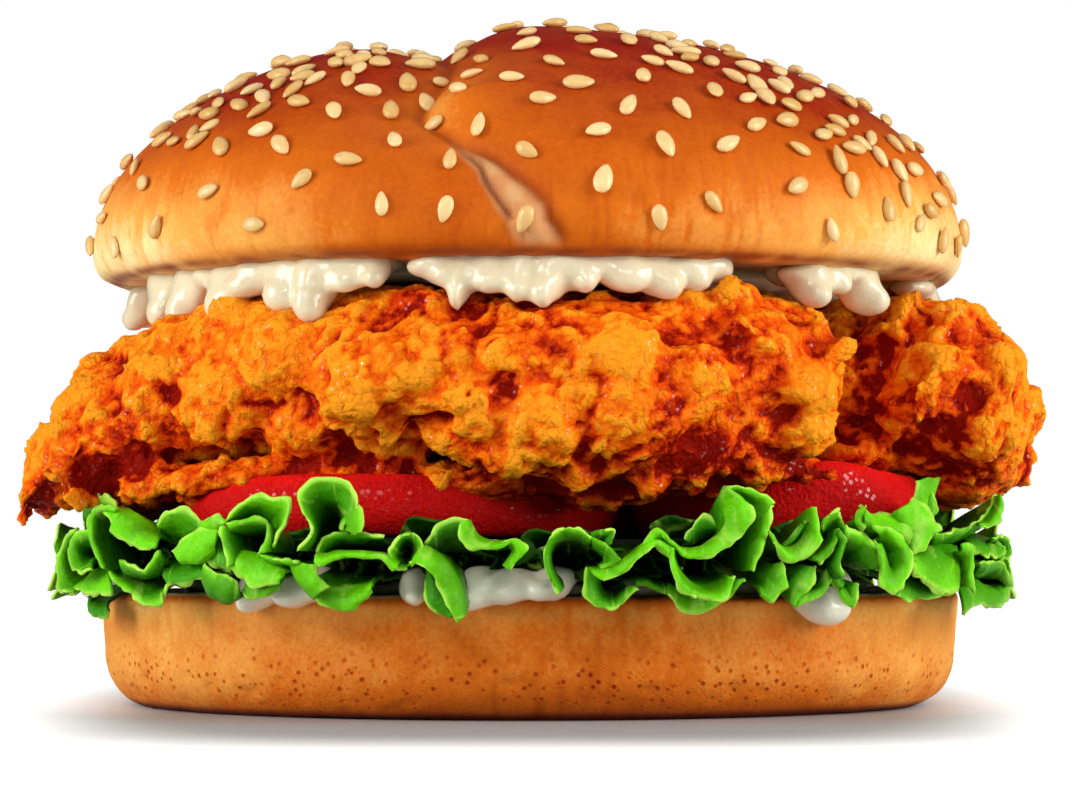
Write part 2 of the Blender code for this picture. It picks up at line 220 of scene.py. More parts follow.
def evened(mesh, values, rounds):
    """Values at the points after each has been averaged with its neighbours a few times."""
    ends = np.empty(len(mesh.edges) * 2, np.int32)
    mesh.edges.foreach_get("vertices", ends)
    one, other = ends[0::2], ends[1::2]
    count = len(mesh.vertices)
    shares = np.bincount(ends, minlength=count)[:, None] + 1.0
    values = np.array(values, float).reshape(count, -1)
    for _ in range(rounds):
        total = values.copy()
        for column in range(values.shape[1]):
            total[:, column] += np.bincount(one, values[other, column], count)
            total[:, column] += np.bincount(other, values[one, column], count)
        values = total / shares
    return values


def standing_out(mesh, rounds):
    """How far each point stands out of (or lies below) the surface around it."""
    points = read_points(mesh)
    return ((points - evened(mesh, points, rounds)) * read_normals(mesh)).sum(axis=1)


def mesh_of(bm, name):
    """Closes a bmesh into a new mesh with its faces pointing out."""
    bmesh.ops.recalc_face_normals(bm, faces=bm.faces)
    mesh = bpy.data.meshes.new(name)
    bm.to_mesh(mesh)
    bm.free()
    return mesh


def new_object(name, data):
    """Makes an object and puts it in the scene."""
    made = bpy.data.objects.new(name, data)
    bpy.context.scene.collection.objects.link(made)
    return made


def evaluated(mesh, name, *modifiers):
    """Applies (kind, settings) modifiers to a mesh, which is used up."""
    source = new_object(name, mesh)
    for kind, settings in modifiers:
        modifier = source.modifiers.new(kind.lower(), kind)
        for label, value in settings.items():
            setattr(modifier, label, value)
    shapes = bpy.context.evaluated_depsgraph_get()
    finished = bpy.data.meshes.new_from_object(source.evaluated_get(shapes))
    bpy.data.objects.remove(source)
    bpy.data.meshes.remove(mesh)
    finished.name = name
    return finished


def spun(profile, steps, name):
    """Spins a profile of (radius, height) points round the axis, many steps to the turn."""
    bm = bmesh.new()
    verts = [bm.verts.new((radius, 0.0, height)) for radius, height in profile]
    for pair in zip(verts, verts[1:]):
        bm.edges.new(pair)
    outline = bpy.data.meshes.new(name)
    bm.to_mesh(outline)
    bm.free()
    lathe = {"axis": "Z", "steps": steps, "render_steps": steps, "use_merge_vertices": True,
             "merge_threshold": DOUBLES}
    return evaluated(outline, name, ("SCREW", lathe))


def turned(profile, steps, name):
    """Spins a profile into one closed mesh whose faces point out."""
    bm = bmesh.new()
    bm.from_mesh(spun(profile, steps, name))
    bmesh.ops.remove_doubles(bm, verts=bm.verts, dist=DOUBLES)
    return mesh_of(bm, name)


def crowded_front(points, pull):
    """Points turned round the axis so that a spun shape has its closest faces at the front."""
    angle = np.radians(bearings_of(points) - FRONT)
    angle += math.radians(FRONT) - pull * np.sin(angle)
    radius = radii_of(points)
    return np.stack([radius * np.cos(angle), radius * np.sin(angle), points[:, 2]], axis=-1)


def arc(centre, half, start, end, count):
    """Points of an elliptical arc in a profile, from start to end degrees."""
    angles = np.radians(np.linspace(start, end, count + 1))
    return [(centre[0] + half[0] * math.cos(a), centre[1] + half[1] * math.sin(a)) for a in angles]


def line(start, end, count):
    """Points of a straight run in a profile, without its last one."""
    return [tuple(np.array(start) + (np.array(end) - start) * i / count) for i in range(count)]


def frame_copy(node):
    """A frame node's mesh in millimetres around the bun's axis, with its doubles merged."""
    bm = bmesh.new()
    bm.from_mesh(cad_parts[node].data)
    bmesh.ops.remove_doubles(bm, verts=bm.verts, dist=0.01 * MM)
    bm.transform(Matrix.Scale(1.0 / MM, 4))
    bm.transform(Matrix.Translation((-BUN_AXIS[0], -BUN_AXIS[1], 0.0)))
    bm.normal_update()
    return bm


def shape_of(bm):
    """Points and faces of a bmesh, which is used up."""
    bm.verts.index_update()
    points = np.array([vert.co for vert in bm.verts])
    faces = [[vert.index for vert in face.verts] for face in bm.faces]
    bm.free()
    return points, faces


def ball(detail):
    """Points and faces of a ball of radius 1."""
    bm = bmesh.new()
    bmesh.ops.create_icosphere(bm, subdivisions=detail, radius=1.0)
    return shape_of(bm)


def posed(points, place, turn, half_sizes):
    """Stretches points along their own axes, then turns and moves them."""
    return (points * half_sizes) @ np.array(turn).T + np.array(place)


def joined(shapes, name):
    """Joins shapes, each points and faces, into one mesh."""
    points = np.concatenate([shape[0] for shape in shapes])
    faces = []
    count = 0
    for shape in shapes:
        faces += [[index + count for index in face] for face in shape[1]]
        count += len(shape[0])
    mesh = bpy.data.meshes.new(name)
    mesh.from_pydata(points.tolist(), [], faces)
    mesh.update()
    return mesh


def welded(shapes, name, voxel, smoothing=0):
    """Joins overlapping closed shapes into one even skin."""
    steps = [("REMESH", {"mode": "VOXEL", "voxel_size": voxel})]
    if smoothing:
        steps.append(("SMOOTH", {"iterations": smoothing}))
    return evaluated(joined(shapes, name), name, *steps)


def to_frame(mesh):
    """Turns a mesh from millimetres around the bun's axis into the frame's metres."""
    mesh.transform(Matrix.Translation((BUN_AXIS[0] * MM, BUN_AXIS[1] * MM, 0.0)) @ Matrix.Scale(MM, 4))
    mesh.update()


def place_piece(name, mesh, material, nodes=()):
    """Makes a finished piece of a mesh in millimetres."""
    to_frame(mesh)
    mesh.name = name
    mesh.shade_smooth()
    mesh.materials.clear()
    mesh.materials.append(material)
    piece = new_object(name, mesh)
    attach(piece, "root")
    if nodes:
        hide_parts(*nodes)
    return piece


# ---------------------------------------------------------------- material parts

def add_node(tree, kind, values=None, **settings):
    """Adds a node with its settings and its input values."""
    node = tree.nodes.new(kind)
    for name, value in settings.items():
        setattr(node, name, value)
    for name, value in (values or {}).items():
        node.inputs[name].default_value = value
    return node


def feed(tree, sockets, terms):
    """Gives each input its term: a link to an output, a plain colour or a plain value."""
    for socket, term in zip(sockets, terms):
        if isinstance(term, bpy.types.NodeSocket):
            tree.links.new(term, socket)
        elif socket.type == "RGBA":
            socket.default_value = (*term, 1.0)
        else:
            socket.default_value = term


def math_node(tree, operation, *terms, clamp=False):
    """Adds one sum, product or other step whose terms are numbers or outputs."""
    node = add_node(tree, "ShaderNodeMath", operation=operation, use_clamp=clamp)
    feed(tree, node.inputs, terms)
    return node.outputs[0]


def vector_node(tree, operation, *terms):
    """Adds one step on vectors, whose terms are plain vectors or outputs."""
    node = add_node(tree, "ShaderNodeVectorMath", operation=operation)
    feed(tree, node.inputs, terms)
    return node


def sum_of(tree, total, *others):
    """Adds up outputs and numbers, from the first to the last."""
    for other in others:
        total = math_node(tree, "ADD", total, other)
    return total


def ramp_node(tree, factor, stops):
    """Adds a colour ramp of (place, colour) stops."""
    ramp = tree.nodes.new("ShaderNodeValToRGB")
    tree.links.new(factor, ramp.inputs["Fac"])
    elements = ramp.color_ramp.elements
    while len(elements) < len(stops):
        elements.new(0.5)
    for element, (place, colour) in zip(elements, stops):
        element.position = place
        element.color = (*colour, 1.0)
    return ramp.outputs["Color"]


def mix_colours(tree, factor, first, second):
    """Adds a mix of two colours, each an output or a plain colour."""
    mix = add_node(tree, "ShaderNodeMix", data_type="RGBA")
    feed(tree, (mix.inputs[0], mix.inputs[6], mix.inputs[7]), (factor, first, second))
    return mix.outputs[2]


def layered(tree, colour, *layers):
    """Lays (mask, colour) layers over a colour, one after another."""
    for mask, top in layers:
        colour = mix_colours(tree, mask, colour, top)
    return colour


def start_group(name, inputs, outputs):
    """Starts a shared effect with named inputs and outputs, on millimetre coordinates."""
    group = bpy.data.node_groups.new(name, "ShaderNodeTree")
    for label, default in inputs:
        socket = group.interface.new_socket(name=label, in_out="INPUT", socket_type="NodeSocketFloat")
        socket.default_value = default
    for label in outputs:
        group.interface.new_socket(name=label, in_out="OUTPUT", socket_type="NodeSocketFloat")
    entry = group.nodes.new("NodeGroupInput")
    leave = group.nodes.new("NodeGroupOutput")
    where = group.nodes.new("ShaderNodeTexCoord")
    scale = add_node(group, "ShaderNodeMapping", {"Scale": (1.0 / MM,) * 3})
    group.links.new(where.outputs["Object"], scale.inputs["Vector"])
    return group, entry, leave, scale.outputs["Vector"]


def moved_aside(tree, place, seed):
    """Moves a pattern to another part of space for each seed."""
    return vector_node(tree, "MULTIPLY_ADD", seed, (17.3, 9.1, 23.7), place).outputs["Vector"]


def shared_group(name):
    """Finds a shared effect, or builds it the first time."""
    return bpy.data.node_groups.get(name) or GROUP_BUILDERS[name]()


def lay_texture(group, entry, texture, place):
    """Lays a texture at a place, with lumps or cells of the group's Size in mm."""
    group.links.new(place, texture.inputs["Vector"])
    group.links.new(math_node(group, "DIVIDE", 1.0, entry.outputs["Size"]), texture.inputs["Scale"])


def around_zero(group, entry, noise, reach):
    """Gives noise the group's Detail and spreads it from -reach to reach."""
    group.links.new(entry.outputs["Detail"], noise.inputs["Detail"])
    centred = math_node(group, "SUBTRACT", noise.outputs["Fac"], 0.5)
    doubled = math_node(group, "MULTIPLY", centred, 2.0)
    return math_node(group, "MULTIPLY", doubled, entry.outputs[reach])


def build_mottle():
    """Soft patches: a value around 0 that wanders by Amount."""
    group, entry, leave, place = start_group(
        "Mottle", (("Size", 5.0), ("Amount", 0.2), ("Detail", 3.0), ("Seed", 0.0)), ("Value",))
    noise = add_node(group, "ShaderNodeTexNoise", {"Roughness": 0.6})
    lay_texture(group, entry, noise, moved_aside(group, place, entry.outputs["Seed"]))
    group.links.new(around_zero(group, entry, noise, "Amount"), leave.inputs["Value"])
    return group


def build_pits():
    """Scattered round pits: Mask is 1 in a pit, and Height falls there by Depth."""
    group, entry, leave, place = start_group(
        "Pits", (("Size", 1.0), ("Depth", 0.1), ("Cover", 0.4), ("Seed", 0.0)), ("Mask", "Height"))
    cells = add_node(group, "ShaderNodeTexVoronoi", {"Randomness": 1.0})
    lay_texture(group, entry, cells, moved_aside(group, place, entry.outputs["Seed"]))
    inside = math_node(group, "SUBTRACT", entry.outputs["Cover"], cells.outputs["Distance"])
    mask = math_node(group, "MULTIPLY", inside, 5.0, clamp=True)
    group.links.new(mask, leave.inputs["Mask"])
    depth = math_node(group, "MULTIPLY", mask, entry.outputs["Depth"])
    group.links.new(math_node(group, "MULTIPLY", depth, -1.0), leave.inputs["Height"])
    return group


def build_grain():
    """Fine uneven relief: Height goes up and down by Depth."""
    group, entry, leave, place = start_group(
        "Grain", (("Size", 1.0), ("Depth", 0.05), ("Detail", 4.0)), ("Height",))
    noise = add_node(group, "ShaderNodeTexNoise", {"Roughness": 0.65})
    lay_texture(group, entry, noise, place)
    group.links.new(around_zero(group, entry, noise, "Depth"), leave.inputs["Height"])
    return group


def build_crumbs():
    """Tight round grains: Height of each grain, and Tone, which is high on the tall ones."""
    group, entry, leave, place = start_group("Crumbs", (("Size", 1.0), ("Depth", 0.1)), ("Height", "Tone"))
    cells = add_node(group, "ShaderNodeTexVoronoi", {"Randomness": 1.0})
    push = add_node(group, "ShaderNodeTexNoise", {"Scale": 0.8, "Detail": 2.0})
    group.links.new(place, push.inputs["Vector"])
    shifted = vector_node(group, "MULTIPLY_ADD", push.outputs["Color"], (1.2, 1.2, 1.2), place)
    lay_texture(group, entry, cells, shifted.outputs["Vector"])
    fall = math_node(group, "MULTIPLY", cells.outputs["Distance"], cells.outputs["Distance"])
    dome = math_node(group, "SUBTRACT", 1.0, math_node(group, "MULTIPLY", fall, 1.7), clamp=True)
    chance = random_part(group, cells.outputs["Color"])
    tall = math_node(group, "ADD", 0.25, math_node(group, "MULTIPLY", chance, 0.75))
    tone = math_node(group, "MULTIPLY", dome, tall)
    group.links.new(tone, leave.inputs["Tone"])
    group.links.new(math_node(group, "MULTIPLY", tone, entry.outputs["Depth"]), leave.inputs["Height"])
    return group


def random_part(tree, colour):
    """One random number from a colour that is different in every cell."""
    split = tree.nodes.new("ShaderNodeSeparateColor")
    tree.links.new(colour, split.inputs["Color"])
    return split.outputs["Red"]


GROUP_BUILDERS = {"Crumbs": build_crumbs, "Mottle": build_mottle, "Pits": build_pits, "Grain": build_grain}


def use_group(tree, name, **values):
    """Places a shared effect in a material with its own values."""
    node = tree.nodes.new("ShaderNodeGroup")
    node.node_tree = shared_group(name)
    for label, value in values.items():
        node.inputs[label].default_value = value
    return node


def specks(tree, strength, size, cover, seed):
    """Mask of small round specks that cover what lies under them by strength, from 0 to 1."""
    spots = use_group(tree, "Pits", Size=size, Depth=0.0, Cover=cover, Seed=seed)
    return math_node(tree, "MULTIPLY", spots.outputs["Mask"], strength)


def attribute(tree, name):
    """Reads a number that paint() stored on the piece."""
    node = add_node(tree, "ShaderNodeAttribute", attribute_type="GEOMETRY", attribute_name=name)
    return node.outputs["Fac"]


def tinted(colour, change):
    """A colour made lighter, darker or warmer, as a plain tuple that stays below 1."""
    return tuple(np.minimum(np.array(colour) * change, 1.0))


def finish_surface(tree, shader, colour, height):
    """Puts a colour on the surface, and bumps from a height in millimetres."""
    tree.links.new(colour, shader.inputs["Base Color"])
    bump = add_node(tree, "ShaderNodeBump", {"Strength": 1.0, "Distance": MM})
    tree.links.new(height, bump.inputs["Height"])
    tree.links.new(bump.outputs["Normal"], shader.inputs["Normal"])


def start_material(name, roughness, **values):
    """Starts a material and sets the plain values on its shader."""
    material = bpy.data.materials.new(name)
    material.use_nodes = True
    tree = material.node_tree
    shader = tree.nodes["Principled BSDF"]
    shader.inputs["Roughness"].default_value = roughness
    for label, value in values.items():
        shader.inputs[label.replace("_", " ").title().replace("Ior", "IOR")].default_value = value
    return material, tree, shader


# ---------------------------------------------------------------- settings

class BunSettings(bpy.types.PropertyGroup):
    """Sizes and colours of the bun and its seeds."""

    rows: IntProperty(
        name="Dome rows", description="Rows of faces from the lip to the top", default=146)
    steps: IntProperty(name="Steps round", description="Faces round the bun", default=480)
    fullness: FloatProperty(
        name="Fullness", description="How square-shouldered the dome is", default=2.05)
    lip: FloatProperty(name="Lip", description="Round of the crown's lower edge, in mm", default=3.9)
    swell: FloatProperty(
        name="Swell", description="How far the uneven crust rises above the dome, in mm", default=2.15)
    crease_depth: FloatProperty(
        name="Crease depth", description="Depth of the crease, in mm", default=2.8)
    pale: FloatVectorProperty(
        name="Pale dough", description="Colour of the least baked crust", subtype="COLOR",
        default=(0.97, 0.78, 0.36))
    gold: FloatVectorProperty(
        name="Golden crust", description="Colour of lightly baked crust", subtype="COLOR",
        default=(0.90, 0.40, 0.075))
    brown: FloatVectorProperty(
        name="Brown crust", description="Colour of well baked crust", subtype="COLOR",
        default=(0.68, 0.150, 0.008))
    dark: FloatVectorProperty(
        name="Dark crust", description="Colour of the darkest crust", subtype="COLOR",
        default=(0.31, 0.010, 0.0006))
    seed_length: FloatProperty(
        name="Seed length", description="Length of a sesame seed, in mm", default=3.15)
    seed_colour: FloatVectorProperty(
        name="Seed colour", description="Colour of the sesame seeds", subtype="COLOR",
        default=(0.83, 0.57, 0.22))


class ChickenSettings(bpy.types.PropertyGroup):
    """Sizes and colours of the fried crust."""

    voxel: FloatProperty(name="Skin grain", description="Face size of the crust, in mm", default=0.55)
    lump_height: FloatProperty(
        name="Lump height", description="Height of the crust's knobs, in mm", default=1.0)
    pale: FloatVectorProperty(
        name="Pale crust", description="Colour of floury flakes", subtype="COLOR",
        default=(1.00, 0.33, 0.012))
    gold: FloatVectorProperty(
        name="Golden crust", description="Colour of the raised crust", subtype="COLOR",
        default=(0.94, 0.185, 0.003))
    orange: FloatVectorProperty(
        name="Orange crust", description="Colour of the crust's slopes", subtype="COLOR",
        default=(0.84, 0.098, 0.002))
    # The deep colour shows in the hollows and along the bottom, where painted shade darkens the crust.
    red: FloatVectorProperty(
        name="Deep crust", description="Colour of the crust's hollows", subtype="COLOR",
        default=(0.62, 0.036, 0.001))


class LettuceSettings(bpy.types.PropertyGroup):
    """Sizes and colours of the lettuce."""

    thickness: FloatProperty(name="Thickness", description="Thickness of a leaf, in mm", default=0.36)
    bright: FloatVectorProperty(
        name="Bright leaf", description="Colour of the frill", subtype="COLOR",
        default=(0.165, 0.70, 0.003))
    # The deep colour paints the shade towards the stack.
    deep: FloatVectorProperty(
        name="Deep leaf", description="Colour of the inner leaf", subtype="COLOR",
        default=(0.045, 0.30, 0.002))
    edge: FloatVectorProperty(
        name="Leaf edge", description="Colour of the thin rim", subtype="COLOR",
        default=(0.52, 0.92, 0.10))


class SauceSettings(bpy.types.PropertyGroup):
    """Colours of the mayonnaise and the tomato."""

    # The same mayonnaise in two colours: darker under the crown as painted shade, and paler on the heel as
    # painted light.
    sauce: FloatVectorProperty(
        name="Sauce", description="Colour of the mayonnaise", subtype="COLOR",
        default=(0.79, 0.70, 0.46))
    painted_lit_lower_sauce: FloatVectorProperty(
        name="Lower sauce", description="Colour of the mayonnaise on the heel, painted lit", subtype="COLOR",
        default=(0.98, 0.95, 0.74))
    voxel: FloatProperty(name="Sauce grain", description="Face size of the sauce, in mm", default=0.42)
    flesh: FloatVectorProperty(
        name="Tomato", description="Colour of the tomato's flesh", subtype="COLOR",
        default=(1.00, 0.016, 0.013))
    skin: FloatVectorProperty(
        name="Tomato skin", description="Colour of the tomato's skin", subtype="COLOR",
        default=(0.60, 0.004, 0.004))


class StageSettings(bpy.types.PropertyGroup):
    """Camera and light."""

    distance: FloatProperty(
        name="Camera distance", description="Camera to bun axis, in mm", default=400.0)
    height: FloatProperty(
        name="Camera height", description="Camera above the floor, in mm", default=18.0)
    lens: FloatProperty(name="Lens", description="Focal length on a 36 mm sensor, in mm", default=114.2)
    pitch: FloatProperty(
        name="Pitch", description="Upward tilt of the camera, in degrees", default=2.49)
    yaw: FloatProperty(
        name="Yaw", description="Turn of the camera to the right, in degrees", default=0.093)
    floor: FloatVectorProperty(
        name="Floor", description="Colour of the floor", subtype="COLOR", default=(0.80, 0.80, 0.80))


# ---------------------------------------------------------------- bun

# The crease as (bearing, climb): climb is 0 at the dome's equator and 90 at its top.
CREASE = (
    (274, -55), (273, -20), (272, 1.5), (271, 5), (269.5, 8), (267, 12.5), (265, 16), (261.5, 20),
    (258.5, 25), (256, 28.5), (254, 31.5), (253.6, 35), (253.5, 40), (254, 45.5), (251, 56), (238, 67),
    (214, 76), (165, 81), (115, 75), (98, 62), (90, 50), (86, 35), (84, 18), (83, 3), (82, -55),
)
# Heights between which the dough is torn along the crease, in mm.
TEAR_TOP = 63.5
TEAR_FOOT = 53.0
# Steps of the crease's path, and how strongly the crown's faces crowd towards its front end.
CREASE_STEPS = 420
FRONT_PULL = 0.45
# Depth of the crease in the torn front, in mm.
TORN_DEPTH = 0.55


def equator(bun):
    """Height at which the crown is widest, in mm."""
    return CROWN_UNDERSIDE + 0.92 * bun.lip


def dome_point(bun, bearing, climb):
    """Point of the smooth dome. A climb below 0 runs round the lip under the equator."""
    middle = equator(bun)
    angle = math.radians(climb)
    if climb < 0:
        radius = CROWN_RADIUS - bun.lip + bun.lip * math.cos(angle)
        return on_bearing(bearing, radius, middle + (middle - CROWN_UNDERSIDE) * math.sin(angle))
    power = 2.0 / bun.fullness
    rise = CROWN_TOP - middle - bun.swell
    radius = CROWN_RADIUS * max(0.0, math.cos(angle)) ** power
    return on_bearing(bearing, radius, middle + rise * math.sin(angle) ** power)


def distances_to_crease(bun, points):
    """Signed distance of each point to the crease, above 0 on the upper lobe's side, and its height."""
    path = [dome_point(bun, bearing, climb) for bearing, climb in curve_through(CREASE, CREASE_STEPS)]
    tree = KDTree(len(path))
    for index, point in enumerate(path):
        tree.insert(point, index)
    tree.balance()
    inner = Vector((0.0, 0.0, 20.0))
    signed = np.empty(len(points))
    heights = np.empty(len(points))
    for row, point in enumerate(points):
        point = Vector(point)
        nearest, index, distance = tree.find(point)
        along = path[min(index + 2, len(path) - 1)] - path[max(index - 2, 0)]
        side = along.cross(point - nearest).dot(point - inner)
        signed[row] = -distance if side > 0 else distance
        heights[row] = nearest.z
    return signed, heights


def upright_wrinkles(bearing, height, fall, size, seed):
    """Fine wrinkles that run up the bun's side: 0 along each, and about 1 far from it."""
    streaks = np.stack([bearing * 0.62, height * fall, height * 0.0], axis=-1)
    return np.abs(rough(streaks, size, 3, seed))


def on_flanks(bearing):
    """1 at the bun's left and right and 0 at its front and back: the flanks are painted paler, partly as
    sides that baked least and partly as painted light from the side lamps.
    """
    return np.abs(np.cos(np.radians(bearing))) ** 1.6


def make_crown(bun):
    """Shapes the crown and stores how well each point is baked, with painted light and shade mixed in."""
    middle = equator(bun)
    lip_centre = (CROWN_RADIUS - bun.lip, middle)
    profile = line((0.0, CROWN_UNDERSIDE), (lip_centre[0], CROWN_UNDERSIDE), 8)
    profile += arc(lip_centre, (bun.lip, middle - CROWN_UNDERSIDE), -90, 0, 14)
    for row in range(1, bun.rows + 1):
        point = dome_point(bun, 0.0, 90.0 * row / bun.rows)
        profile.append((point.x, point.z))
    mesh = turned(profile, bun.steps, "bun_crown_looks")
    points = crowded_front(read_points(mesh), FRONT_PULL)
    write_points(mesh, points)
    normals = read_normals(mesh)
    # The crease with its soft shoulders, and the tear beside its front end.
    signed, crease_height = distances_to_crease(bun, points)
    distance = np.abs(signed)
    climb = smooth((crease_height - middle) / 16.0)
    upper = signed > 0
    depth = TORN_DEPTH + (bun.crease_depth - TORN_DEPTH) * climb
    shoulder = 3.4 + 2.6 * smooth((crease_height - 64.0) / 8.0)
    offset = np.where(upper, -depth * bell(distance, shoulder), -depth * bell(distance, 6.5))
    offset += np.where(upper, 0.35 * bell(distance - 9.0, 6.5) * climb, 0.0)
    tear = 3.6 * smooth((TEAR_TOP - crease_height) / 9.0)
    open_tear = smooth((TEAR_TOP - crease_height) / 4.0)
    groove = bell(signed + tear, 0.50) * open_tear * smooth((crease_height - TEAR_FOOT) / 2.5)
    torn = smooth((0.2 - signed) / 0.6) * (1.0 - smooth((-signed - tear - 0.2) / 1.0)) * open_tear
    offset -= 0.55 * bell(distance, 0.9)
    offset -= 0.75 * groove
    offset += (0.35 * bell(signed + 0.55 * tear, 1.2) + 0.22 * rough(points, 1.7, 3, 81)) * torn
    # Swells and wrinkles of the crust. The height is a view, so it follows when the points move.
    height = points[:, 2]
    side = smooth((height - CROWN_UNDERSIDE - 0.2) / 1.5)
    offset += 0.55 * lumps(points, 26.0, 5) + 0.22 * rough(points, 9.0, 2, 9)
    low = bell(height - middle, 7.0)
    bearing = bearings_of(points)
    wrinkle = upright_wrinkles(bearing, height, 0.10, 1.5, 21)
    crinkled = 0.35 + 0.65 * smooth(lumps(points, 16.0, 33) + 0.4)
    offset -= 0.16 * low * crinkled * (1.0 - smooth(wrinkle * 5.0))
    offset += 0.05 * rough(points, 1.6, 2, 41)
    cut = 0.35 * rough(points, 3.0, 3, 55)
    points += normals * (offset * side)[:, None]
    points[:, 2] += cut * (1.0 - side) * smooth((CROWN_RADIUS - 1.5 - radii_of(points)) / 3.0)
    write_points(mesh, points)
    # How well each point is baked, with painted light and shade mixed in: dark on top, pale on the flanks
    # (partly painted light from the side lamps) and beside the crease, with a painted highlight on the
    # upper lobe's shoulder and painted shade along the crease and the lower edge.
    climbed = (height - CROWN_UNDERSIDE) / (CROWN_TOP - CROWN_UNDERSIDE)
    bake_and_painted_light = 0.54 + 0.54 * smooth((climbed - 0.02) / 0.90) ** 0.9
    bake_and_painted_light -= 0.64 * on_flanks(bearing) * (1.0 - smooth((climbed - 0.04) / 0.58))
    bake_and_painted_light += 0.12 * rough(points, 17.0, 3, 61) + 0.05 * rough(points, 3.0, 2, 71)
    # Paler on the upper lobe's shoulder near the top of the crease: a painted highlight.
    bake_and_painted_light -= 0.42 * upper * bell(distance - 2.5, 5.5) * bell(crease_height - 66.5, 5.5)
    bake_and_painted_light -= 0.22 * np.where(upper, 0.2, 1.0) * bell(distance, 3.4) * climb
    # Darker along the crease line: partly darker crust, partly painted shade in the crease.
    bake_and_painted_light += 0.12 * bell(distance, 0.9) * (1.0 - 0.5 * climb)
    bake_and_painted_light += 0.16 * bell(bearing - 254.0, 13.0) * (1.0 - smooth((climbed - 0.12) / 0.35))
    bake_and_painted_light += 0.12 * low * crinkled * (1.0 - smooth(wrinkle * 6.0))
    # Darker just above the lower edge: a toasted edge, and painted shade where the crown meets the sauce.
    bake_and_painted_light += 0.10 * bell(height - CROWN_UNDERSIDE - 0.7, 0.55) * side
    bake_and_painted_light += 0.10 * smooth((climbed - 0.70) / 0.25)
    paint(mesh, "bake_and_painted_light", bake_and_painted_light)
    # The cut face, the torn dough, and dark lines: a toasted rim round the cut face with painted shade
    # where the crown meets the sauce, and the crease and its groove, partly darker crust and partly painted
    # shade.
    inside = smooth((CROWN_RADIUS - 6.0 - radii_of(points)) / 2.0)
    paint(mesh, "cut_face", inside * (1.0 - smooth((height - CROWN_UNDERSIDE) / 0.5)))
    rim = bell(height - CROWN_UNDERSIDE - 0.35, 0.45) * (1.0 - inside)
    rim *= 0.45 + 0.5 * smooth(rough(points, 2.5, 2, 91) + 0.6)
    crack_and_painted_shade = np.maximum(bell(distance, 0.75) * (0.60 - 0.40 * climb), 0.70 * groove) * side
    paint(mesh, "crack_and_painted_shade", np.maximum(crack_and_painted_shade, rim))
    paint(mesh, "torn", torn * side * (0.62 + 0.38 * smooth(rough(points, 1.6, 3, 81) + 0.5)))
    return mesh


def baked_colour(tree, bun, tone):
    """Colour of bun crust from how well it is baked."""
    pale, gold = np.array(bun.pale), np.array(bun.gold)
    brown, dark = np.array(bun.brown), np.array(bun.dark)
    stops = ((0.0, pale), (0.24, gold), (0.52, brown), (0.76, 0.5 * brown + 0.5 * dark), (1.0, dark))
    return ramp_node(tree, tone, [(place, tuple(colour)) for place, colour in stops])


def crust_material(bun):
    """Satin baked crust of the crown, with fine skin, pores and a darker cut edge, its colour holding
    painted light and shade: paler flanks, a painted highlight beside the crease, and painted shade in the
    crease and along the cut edge.
    """
    material, tree, shader = start_material("bun crust", 0.45, specular_ior_level=0.04)
    patches = use_group(tree, "Mottle", Size=7.0, Amount=0.09, Detail=4.0, Seed=1.0)
    flecks = use_group(tree, "Mottle", Size=0.6, Amount=0.11, Detail=3.0, Seed=5.0)
    tone = sum_of(tree, attribute(tree, "bake_and_painted_light"), patches.outputs["Value"], flecks.outputs["Value"])
    colour = layered(tree, baked_colour(tree, bun, tone), (attribute(tree, "torn"), (0.68, 0.36, 0.15)),
                     (attribute(tree, "crack_and_painted_shade"), (0.26, 0.045, 0.010)),
                     (attribute(tree, "cut_face"), (0.72, 0.47, 0.22)))
    spread = use_group(tree, "Mottle", Size=2.5, Amount=0.10, Detail=3.0, Seed=9.0)
    shine = math_node(tree, "ADD", spread.outputs["Value"], 0.45)
    tree.links.new(shine, shader.inputs["Roughness"])
    skin = use_group(tree, "Grain", Size=0.55, Depth=0.022, Detail=4.0)
    pores = use_group(tree, "Pits", Size=2.1, Depth=0.06, Cover=0.13, Seed=2.0)
    finish_surface(tree, shader, colour, sum_of(tree, skin.outputs["Height"], pores.outputs["Height"]))
    return material


